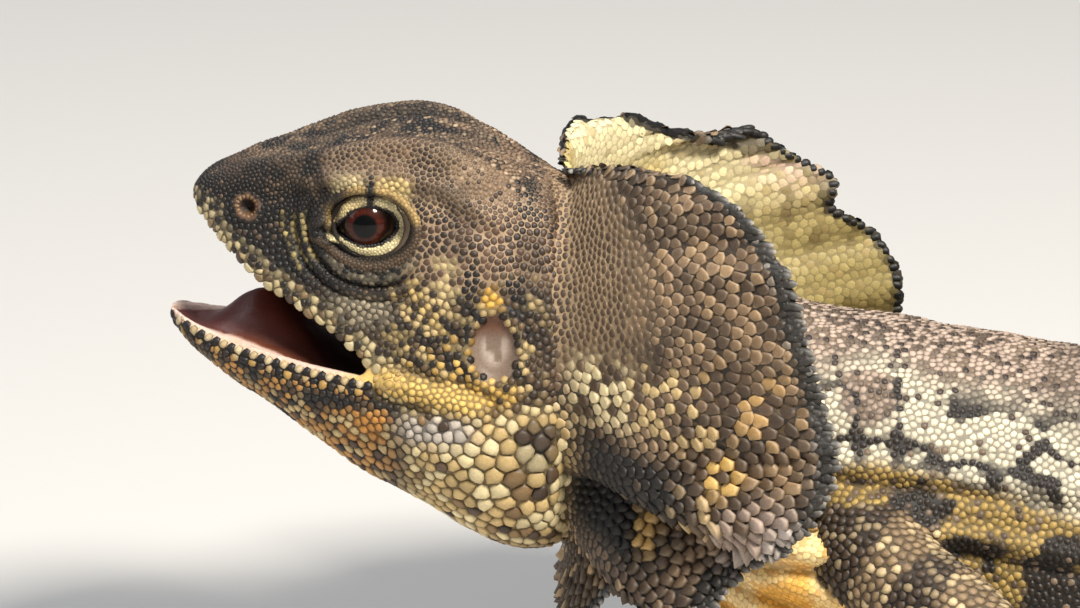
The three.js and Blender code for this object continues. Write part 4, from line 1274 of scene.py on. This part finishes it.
def frill_outer(at):
    """Colours of the outside of a frill: of the scales, their edges and the gaps between them."""
    a, b, pick = at.a, at.b, rng.random(len(at.a))
    cloud = noise(at.points, 7, 3)
    front = step(0.5, 0.2, b) * step(0.5, 0.4, a)
    small = noise(at.points, 3, 23)
    colour = blend(tones("503d2c", len(a)), "866c50", step(0.3, 0.7, cloud))
    colour = painted(
        colour,
        ("2f241b", step(0.46, 0.34, small) * 0.6),
        ("3b2d23", (pick > 0.8) * 0.4),
        ("a98b64", (pick < 0.13) * 0.45),
        ("5a4532", front * 0.7),
        ("463426", step(0.68, 0.74, a) * (pick < 0.66) * 0.85),
        ("c2a374", step(0.74, 0.8, a) * (pick > 0.8) * 0.85))
    for a0, b0, long, high, tone, share in FRILL_PATCHES:
        patch = np.exp(-(((a - a0) / long) ** 4) - ((b - b0) / high) ** 4)
        colour = blend(colour, tone, 1.2 * patch * (pick < share))
    rim = step(0.885, 0.925, b) * (1 - 0.9 * hill(a, 0.645, 0.05))
    colour = blend(colour, "2d2a27", rim * 0.92)
    colour = blend(colour, "8f8a82", rim * (pick > 0.9))
    colour = mixed(colour, skin_colours(Place(at.points), pick), step(0.14, -0.02, b))
    net = (front * (1 - rim))[:, None]
    bright = np.clip(colour.mean(1, keepdims=True) / 0.12, 0, 1)
    edge = colour * (0.75 - 0.1 * net) + rgb("c4aa8a") * 0.3 * (1 - net) * bright * (1 - rim[:, None])
    gap = colour * 0.22 * (1 - net) + (colour * 0.4 + rgb("b79c78") * 0.6) * net
    return colour, edge, gap


def frill_inner(at):
    """The same for the inside of a frill."""
    a, b, pick = at.a, at.b, rng.random(len(at.a))
    cloud = noise(at.points, 9, 6)
    colour = blend(tones("d3bd7c", len(a)), "eadcae", step(0.3, 0.7, cloud))
    colour = blend(colour, "a18d4e", step(0.35, 0.5, a) * step(0.3, 0.8, b) * 0.85)
    colour = blend(colour, "a68e5c", (pick > 0.86) * 0.6)
    # Painted shade: dark streaks stand for the shade in wrinkles of the lining.
    wrinkle_shade = step(0.62, 0.8, noise(at.points * [1, 1, 0.25], 1.6, 17)) * step(0.4, 0.46, a)
    colour = painted(
        colour,
        ("5d4a24", wrinkle_shade * 0.6),
        ("d9b9a2", hill(a, 0.4, 0.04) * step(0.7, 0.9, b) * (pick < 0.6)),
        ("c98a3c", step(0.6, 0.8, a) * 0.5))
    start = 0.9 - 0.13 * step(0.4, 0.33, a) + 0.055 * step(0.42, 0.5, a)
    fringe = step(start, start + 0.03, b) * (1 - 0.6 * hill(a, 0.41, 0.05))
    colour = blend(colour, "1b1815", fringe * 0.95)
    return colour, colour * 0.97, colour * 0.66


def fold_colours(at):
    """The same for both faces of the fold below a frill."""
    pick = rng.random(len(at.a))
    colour = blend(tones("f6b950", len(at.a)), "ffe0a0", step(0.35, 0.65, noise(at.points, 5, 2)))
    colour = blend(colour, "cf8c36", (pick > 0.85) * 0.5)
    colour = blend(colour, "8a683f", step(0.12, 0.02, at.a) * 0.8)
    return colour, colour * 0.97, colour * 0.7


def sheet_look(colours, keel, height):
    def look(at, own):
        centre, edge, gap = colours(at)
        vary = 0.88 + 0.24 * rng.random((len(centre), 1))
        ruffle = 1 + 0.9 * step(0.46, 0.56, at.a) * step(0.3, 0.5, at.b)
        ruffle = ruffle + 1.2 * hill(at.a, 0.64, 0.05) * step(0.6, 0.75, at.b)
        slant = 2 * keel * ruffle * rng.uniform(0.6, 1.4, len(own))
        return {
            "centre": centre * vary, "edge": edge * vary, "gap": gap, "height": own * height, "tilt": slant,
            "keel": own * keel, "overlap": 1.8 * slant, "space": np.full(len(own), 0.03),
        }
    return look


def sheet_ground(sheet, outer, colours):
    """The colour of a membrane's face between its scales."""
    points, _ = sheet.half(outer)
    return colours(SheetPlace(points, np.c_[sheet.marks, sheet.lie]))[2]


def sheet_unwrap(low):
    def unwrap(at):
        return np.stack([0.01 + 0.98 * at.a, low + 0.38 * (at.b + 0.2)], -1)
    return unwrap


# The fringe: pointed scales along the rim of a frill

FRINGE = {"spacing": 1.45, "length": 1.7, "thickness": 0.6, "sides": 8}


def add_fringe(store, sheet, side, dark, pale):
    edge = sheet.middle[:, -1]
    travelled = np.r_[0, np.cumsum(length(np.diff(edge, axis=0)))]
    count = int(travelled[-1] / FRINGE["spacing"])
    stops = np.linspace(0.5, count - 0.5, count) / count * travelled[-1]
    stops = stops + rng.normal(0, 0.12, count)

    def sample(values):
        return np.stack([np.interp(stops, travelled, values[:, c]) for c in range(3)], 1)

    root = sample(edge)
    ahead = unit(sample(edge - sheet.middle[:, -3]))
    facing = unit(sample(sheet.facing[:, -1]))
    across = np.cross(facing, ahead)
    a = np.interp(stops, travelled, np.linspace(0, 1, len(edge)))
    size = (0.75 + 0.5 * rng.random(count)) * step(0, 0.04, a) * step(1, 0.95, a)
    if side > 0:
        size = size * (1.25 - 0.75 * step(0.3, 0.38, a))
    lean = rng.normal(0, 0.18, count)
    ahead = unit(ahead + across * lean[:, None])
    turn = 2 * math.pi * np.arange(FRINGE["sides"]) / FRINGE["sides"]
    points, colours, maps = [], [], []
    middle = np.stack([0.01 + 0.98 * a, np.full(count, 0.49)], -1)
    levels = ((-0.6, 0.9, 0), (0.2, 1, 0), (0.65, 0.8, 0.15), (0.92, 0.4, 0.6), (1, 0.05, 1))
    for along, width, shade in levels:
        ring = (
            across[:, None] * (0.52 * FRINGE["spacing"] * width * np.cos(turn))[:, None]
            + facing[:, None] * (FRINGE["thickness"] * width * np.sin(turn))[:, None])
        points.append((root + ahead * (along * FRINGE["length"] * size)[:, None])[:, None] + ring)
        tone = blend(tones(dark, count), pale, shade * (0.3 + 0.7 * rng.random(count)))
        colours.append(np.repeat(tone[:, None], len(turn), 1))
        maps.append(middle[:, None] + PATCH * np.stack([np.cos(turn), np.sin(turn)], -1)[None])
    faces = repeat_faces(tube(len(turn), len(levels)), len(levels) * len(turn), count)
    store.add(copies(points), faces, copies(colours), copies(maps))


# Eyes and claws

IRIS, PUPIL, CORNEA = 0.70, 0.33, 0.78
EYE_COLOURS = {"pupil": "040303", "inner": "3c150b", "iris": "210a06", "limbus": "0d0705", "white": "2a1b14"}


def make_eye(side, material):
    gaze = unit(np.array([-0.1, side, 0.03]))
    up = unit(np.array([0, 0, 1]) - gaze * gaze[2])
    flat = np.cross(up, gaze)
    rings, sides = 60, 64
    away = math.pi * (np.arange(rings + 1) / rings) ** 1.3
    turn = 2 * math.pi * np.arange(sides) / sides
    away, turn = np.meshgrid(away, turn, indexing="ij")
    radius = EYE_RADIUS - 0.1 + 0.42 * np.clip(1 - (away / CORNEA) ** 2, 0, 1)
    points = EYE[side] + radius[..., None] * (
        np.cos(away)[..., None] * gaze
        + np.sin(away)[..., None] * (np.cos(turn)[..., None] * flat + np.sin(turn)[..., None] * up))
    away, turn, points = away.ravel(), turn.ravel(), points.reshape(-1, 3)
    streaks = noise(np.stack([9 * np.cos(turn), 9 * np.sin(turn), 2 * away], 1), 0.55, 4)
    colour = blend(tones(EYE_COLOURS["iris"], len(away)), EYE_COLOURS["inner"], step(0.62, 0.42, away) * 0.9)
    colour = painted(
        colour,
        ("552412", 0.5 * step(0.5, 0.8, streaks) * step(0.66, 0.5, away)),
        (EYE_COLOURS["limbus"], step(IRIS - 0.15, IRIS - 0.02, away)),
        (EYE_COLOURS["white"], step(IRIS + 0.04, IRIS + 0.14, away)),
        (EYE_COLOURS["pupil"], step(PUPIL + 0.03, PUPIL, away)))
    index = np.arange((rings + 1) * sides).reshape(rings + 1, sides)
    p, q = index[:-1], index[1:]
    r, t = np.roll(q, -1, 1), np.roll(p, -1, 1)
    faces = grid_faces(p, q, r, t)
    piece = make_mesh(f"eyeball_{SIDES[side]}", points, faces, colour)
    piece.data.materials.append(material)
    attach(piece, "root")
    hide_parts(f"eye_{SIDES[side]}")


def make_claws(material):
    store = Scales()
    rings, sides = 12, 10
    turn = 2 * math.pi * np.arange(sides) / sides
    t = np.linspace(0, 1, rings)
    radius = 0.95 * (1 - t ** 1.4) ** 0.8 + 0.08
    faces = np.concatenate(tube(sides, rings))
    colours = blend(tones("6a5947", rings * sides), "1d1611", np.repeat(t, sides))
    for line in toe_lines():
        centre = rope([line[2] + [0, 0, 0.2], line[3] + [0, 0, 0.45], line[4]])(t)
        ahead = unit(np.gradient(centre, axis=0))
        flat = unit(np.cross(ahead, [0, 0, 1]))
        up = np.cross(flat, ahead)
        ring = (
            flat[:, None] * (0.72 * radius[:, None] * np.cos(turn))[..., None]
            + up[:, None] * (1.1 * radius[:, None] * np.sin(turn))[..., None])
        points = (centre[:, None] + ring).reshape(-1, 3)
        points[:, 2] = np.maximum(points[:, 2], 0.05)
        store.add(points, faces, colours, np.zeros((len(points), 2)))
    return store.make("claws", "body_skin", material)


# Materials

def add_node(nodes, kind, **inputs):
    """A new shader node. An input's name is written with _ for a space."""
    node = nodes.new(kind)
    for name, value in inputs.items():
        node.inputs[name.replace("_", " ")].default_value = value
    return node


def surface(name, roughness, wet=False, bump=0.3, grain=5200, coat=0.0):
    """A material that takes its colour from the piece's tint, with fine grain in colour and height."""
    material = bpy.data.materials.new(name)
    material.use_nodes = True
    nodes, links = material.node_tree.nodes, material.node_tree.links
    shader = nodes["Principled BSDF"]
    shader.inputs["Roughness"].default_value = roughness
    shader.inputs["Coat Weight"].default_value = coat
    shader.inputs["Coat Roughness"].default_value = 0.04
    tint = nodes.new("ShaderNodeAttribute")
    tint.attribute_name = "tint"
    place = nodes.new("ShaderNodeTexCoord")
    speckle = add_node(nodes, "ShaderNodeTexNoise", Scale=grain * 0.5, Detail=3)
    links.new(place.outputs["Object"], speckle.inputs["Vector"])
    level = add_node(nodes, "ShaderNodeMapRange", To_Min=0.72, To_Max=1.28)
    links.new(speckle.outputs["Fac"], level.inputs["Value"])
    shaded = nodes.new("ShaderNodeMix")
    shaded.data_type = "RGBA"
    shaded.blend_type = "MULTIPLY"
    shaded.inputs["Factor"].default_value = 1
    links.new(tint.outputs["Color"], shaded.inputs["A"])
    links.new(level.outputs["Result"], shaded.inputs["B"])
    links.new(shaded.outputs["Result"], shader.inputs["Base Color"])
    if bump:
        fine = add_node(nodes, "ShaderNodeTexNoise", Scale=grain, Detail=4)
        links.new(place.outputs["Object"], fine.inputs["Vector"])
        relief = add_node(nodes, "ShaderNodeBump", Strength=bump, Distance=0.0002)
        links.new(fine.outputs["Fac"], relief.inputs["Height"])
        links.new(relief.outputs["Normal"], shader.inputs["Normal"])
    if wet:
        moist = nodes.new("ShaderNodeAttribute")
        moist.attribute_name = "wet"
        gloss = add_node(nodes, "ShaderNodeMapRange", To_Min=roughness, To_Max=0.28)
        links.new(moist.outputs["Fac"], gloss.inputs["Value"])
        links.new(gloss.outputs["Result"], shader.inputs["Roughness"])
    return material


# Assembly

def make_skin_piece():
    points, triangles, lining = make_skin()
    colours, wet = skin_tint(Place(points, lining))
    skin = make_mesh("skin", points, triangles, colours, wet=wet)
    skin.data.materials.append(skin_material)
    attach(skin, "root")
    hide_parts(*FLESH)
    return Hide(points, triangles, lambda places, marks: Place(places, marks[:, 0]), lining[:, None])


def make_skin_scales(hide, covers):
    """Scales for all of the skin but the parts that lie under a frill."""
    places, normals, own, fixed = skin_scales(hide)
    at = Place(places)
    near = np.flatnonzero((at.s > 42) & (at.s < 60) & (at.limb < 0))
    shown = np.ones(len(places), bool)
    for cover in covers:
        ahead = cover.nearest(places[near])[2][:, 1] < -0.1
        shown[near] &= ahead | ~buried(places[near], cover)
    crop = Crop(places, normals, at, own, FixedLook(fixed), skin_unwrap)
    trunk = (at.limb < 0) & ~at.head
    for name, keep, slot in (
            ("scales_head", at.head, "head_skin"),
            ("scales_neck", trunk & (at.s < 100), "body_skin"),
            ("scales_chest", trunk & (at.s >= 100) & (at.s < 145), "body_skin"),
            ("scales_torso", trunk & (at.s >= 145) & (at.s < 232), "body_skin"),
            ("scales_tail", trunk & (at.s >= 232), "body_skin"),
            ("scales_left_limbs", (at.limb >= 0) & (at.y < 0), "body_skin"),
            ("scales_right_limbs", (at.limb >= 0) & (at.y > 0), "body_skin")):
        store = Scales()
        crop.add_to(store, keep & shown)
        store.make(name, slot, scale_material)


# Lids: a thick rim round the eye's opening and a fold round that, with beads for scales

def opening(turn):
    """The outline of the eye's opening, which comes to a point in front."""
    front = np.clip(-np.cos(turn), 0, 1)
    x = 4.35 * np.cos(turn) - 0.8 * front ** 4
    z = 3.05 * np.sin(turn) * (1 - 0.35 * front ** 3) - 0.9 * front ** 3
    return x, z


LID_WIDTH = 4.4
LID_INSIDE = 5.45
LID_SLOPE_SPAN = 0.9


class LidPlace:
    """Where points of a lid are: the turn round the eye and the distance out from the opening."""

    def __init__(self, points, marks):
        self.points = points
        self.out = marks[:, 0]
        self.x, self.z = marks[:, 1], marks[:, 2]
        self.turn = np.arctan2(self.z, self.x)
        self.lie = np.stack([-np.sin(self.turn), 0 * self.turn, np.cos(self.turn)], 1)


def lid_colour(at):
    upper = step(0.2, 1.4, at.z)
    colour = blend(tones("e2d2a2", len(at.x)), "d8c08a", upper * step(1, -2, at.x))
    colour = painted(
        colour,
        ("17110d", step(1.35, 1.65, at.out)),
        ("5a452f", step(1.9, 2.6, at.out) * 0.8),
        ("c9a86a", upper * hill(at.out, 3, 0.8) * step(-4, -2, at.x) * 0.8),
        ("17110d", step(-3.6, -4.6, at.x) * step(-2.5, -1, at.z) * 0.85),
        ("a88a55", hill(at.x, -5.6, 0.7) * hill(at.z, 0.8, 1.8) * 0.9),
        ("17110d", hill(at.x, 0.3, 0.7) * (at.z > 0) * 1.3))
    return blend(colour, "120c09", step(0.3, 0.1, at.out))


def lid_look(at, own):
    centre = lid_colour(at) * (0.82 + 0.36 * rng.random((len(own), 1)))
    flat = np.zeros(len(own))
    return {"centre": centre, "edge": centre * 0.9, "gap": centre * 0.6, "height": own * 0.12, "tilt": flat,
            "keel": flat, "overlap": flat, "space": flat + 0.02}


def lid_size(at):
    return 0.42 + 0.12 * step(1, 3, at.out)


def lid_grows(at):
    return (at.out < LID_WIDTH - 0.4).astype(float)


def lid_unwrap(at):
    return np.stack([0.5 + 0.05 * at.x, 0.5 + 0.055 * at.z], -1)


def make_lid(hide, side, skin, coat):
    turn = np.linspace(0, 2 * math.pi, 180, endpoint=False)
    out = np.linspace(-0.25, LID_WIDTH, 30)
    turn, out = np.meshgrid(turn, out, indexing="ij")
    x, z = opening(turn)
    wider = 1 + out / np.hypot(x, z)
    x, z = x * wider, z * wider

    def skin_height(far):
        """The skin's distance out from the eye's centre, straight out from places round the opening."""
        x0, z0 = opening(turn[:, 0])
        more = 1 + far / np.hypot(x0, z0)
        heights = []
        for px, pz in zip(x0 * more, z0 * more):
            hit = hide.tree.ray_cast(EYE[side] + [px, side * 30, pz], (0, -side, 0))[0]
            heights.append((hit[1] - EYE[side][1]) * side)
        heights = np.array(heights)
        return (np.roll(heights, 1) + np.roll(heights, -1) + heights) / 3

    near, far = skin_height(LID_WIDTH - LID_SLOPE_SPAN)[:, None], skin_height(LID_WIDTH)[:, None]
    slope = (near - far) / LID_SLOPE_SPAN
    over = near + slope * (LID_WIDTH - LID_SLOPE_SPAN - out) * 0.55
    ball = np.sqrt(np.maximum(LID_INSIDE ** 2 - x ** 2 - z ** 2, 4))
    share = step(0, 2.4, out)
    high = ball * (1 - share) + over * share
    high = high + 0.6 * hill(out, 0.75, 0.6) - 0.45 * hill(out, 1.75, 0.3) + 0.35 * hill(out, 2.8, 0.55)
    high = high - 0.5 * step(LID_WIDTH - 1, LID_WIDTH, out) - 0.25 * step(0, -0.25, out)
    points = (EYE[side] + np.stack([x, side * high, z], -1)).reshape(-1, 3)
    marks = np.stack([out, x, z], -1).reshape(-1, 3)
    index = np.arange(turn.size).reshape(turn.shape)
    p, q = index[:, :-1], np.roll(index, -1, 0)[:, :-1]
    r, t = q + 1, p + 1
    faces = grid_faces(p, q, r, t)
    if (point_normals(points, faces)[:, 1] * side).sum() < 0:
        faces = faces[:, ::-1]
    at = LidPlace(points, marks)
    lid = make_mesh(f"lids_{SIDES[side]}", points, faces, lid_colour(at) * 0.6)
    lid.data.materials.append(skin)
    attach(lid, "root")
    places, normals, at = spread(Hide(points, faces, LidPlace, marks), lid_size, lid_grows, 6)
    store = Scales()
    Crop(places, normals, at, lid_size(at), lid_look, lid_unwrap).add_to(store)
    store.make(f"lid_scales_{SIDES[side]}", "head_skin", coat)


def make_sheet(name, sheet, side, faces, slot, cover, hide, fringe=None):
    """A membrane with scales on both faces, standing for a node of the frame."""
    points, triangles = sheet.body()
    ground = [sheet_ground(sheet, outer, colours) for outer, (colours, *_) in zip((True, False), faces)]
    membrane = make_mesh(f"{name}_membrane_{SIDES[side]}", points, triangles, np.concatenate(ground))
    membrane.data.materials.append(surface(f"{name}_membrane", 0.6))
    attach(membrane, "root")
    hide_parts(f"{cover}_{SIDES[side]}")
    store = Scales()
    for outer, (colours, size, keel, height, low) in zip((True, False), faces):
        face = sheet.hide(outer)
        places, normals, at = spread(face, size, lambda at: (at.b > -0.12).astype(float), 9)
        shown = ~buried(places, hide)
        own = size(at)
        crop = Crop(places, normals, at, own, sheet_look(colours, keel, height), sheet_unwrap(low))
        crop.add_to(store, shown)
    if fringe:
        add_fringe(store, sheet, side, *fringe)
    store.make(f"{name}_scales_{SIDES[side]}", slot, surface(f"{name}_scales", 0.5))


def frill_size(at):
    size = 1.02 + 0.62 * step(0.15, 0.6, at.b) + 0.3 * hill(at.a, 0.6, 0.15) - 0.5 * step(0.85, 0.93, at.b)
    size = size + 0.6 * hill(at.a, 0.49, 0.06) * hill(at.b, 0.16, 0.15)
    root = step(0.1, -0.05, at.b)
    return size * (1 - root) + skin_size(Place(at.points)) * root


def lining_size(at):
    return 1.15 + 0.2 * np.maximum(at.b, 0)


def fold_size(at):
    return 0.95 + 0 * at.a


skin_material = surface("skin", 0.6, wet=True)
scale_material = surface("scales", 0.48)
hide = make_skin_piece()
frills = {side: Membrane(frill_places, side, 260, 40, FRILL_REACH[side], hide) for side in SIDES}
make_skin_scales(hide, [frills[side].hide(True) for side in SIDES])
for side in SIDES:
    make_lid(hide, side, skin_material, scale_material)
    make_sheet(
        "frill", frills[side], side,
        ((frill_outer, frill_size, 0.12, 0.07, 0.01), (frill_inner, lining_size, 0.0, 0.018, 0.52)),
        "frill_skin", "frill", hide, ("2b2926", "cfc8be") if side < 0 else ("100f0e", "4a4540"))
    make_sheet(
        "fold", Membrane(fold_places, side, 120, 30, 1), side,
        ((fold_colours, fold_size, 0.01, 0.02, 0.01), (fold_colours, fold_size, 0.01, 0.02, 0.52)),
        "throat_fold", "frill_fold", hide)
eye_material = surface("eye", 0.5, bump=0, grain=9000, coat=1.0)
for socket, value in (("Specular IOR Level", 0.05), ("Coat IOR", 1.28)):
    eye_material.node_tree.nodes["Principled BSDF"].inputs[socket].default_value = value
for side in SIDES:
    make_eye(side, eye_material)
make_claws(surface("horn", 0.35, bump=0.15))


# Floor, camera and lights

CAMERA_AWAY = 0.9
CAMERA_RISE = math.radians(16)
head_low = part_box("head")[0]
TARGET = Vector((head_low[0] + 0.0522, 0, 0.067))

bpy.ops.mesh.primitive_plane_add(size=6, location=(0, 0, 0))
floor = bpy.context.object
floor.name = "floor"
paper = bpy.data.materials.new("paper")
paper.use_nodes = True
paper.node_tree.nodes["Principled BSDF"].inputs["Base Color"].default_value = (0.62, 0.6, 0.57, 1)
paper.node_tree.nodes["Principled BSDF"].inputs["Roughness"].default_value = 0.85
floor.data.materials.append(paper)

lens = bpy.data.cameras.new("camera")
lens.lens = 200
lens.sensor_width = 36
lens.clip_start, lens.clip_end = 0.05, 20
camera = bpy.data.objects.new("camera", lens)
bpy.context.scene.collection.objects.link(camera)
camera.location = TARGET + CAMERA_AWAY * Vector((0, -math.cos(CAMERA_RISE), math.sin(CAMERA_RISE)))
camera.rotation_euler = (math.pi / 2 - CAMERA_RISE, 0, 0)
bpy.context.scene.camera = camera


def add_light(name, place, power, size, colour):
    data = bpy.data.lights.new(name, "AREA")
    data.energy, data.size, data.color = power, size, colour
    light = bpy.data.objects.new(name, data)
    light.location = TARGET + Vector(place)
    light.rotation_euler = (TARGET - light.location).to_track_quat("-Z", "Y").to_euler()
    bpy.context.scene.collection.objects.link(light)


add_light("key", (0.45, -0.55, 0.85), 20.5, 0.24, (1, 0.95, 0.86))
add_light("overhead", (-0.2, 0.3, 1.0), 6, 0.8, (0.92, 0.96, 1))
add_light("front", (-0.95, -0.15, 0.55), 2.8, 0.6, (0.95, 0.97, 1))
world = bpy.data.worlds.new("studio")
world.use_nodes = True
world.node_tree.nodes["Background"].inputs["Color"].default_value = (0.75, 0.8, 0.9, 1)
world.node_tree.nodes["Background"].inputs["Strength"].default_value = 0.22
bpy.context.scene.world = world
bpy.context.scene.view_settings.view_transform = "Standard"
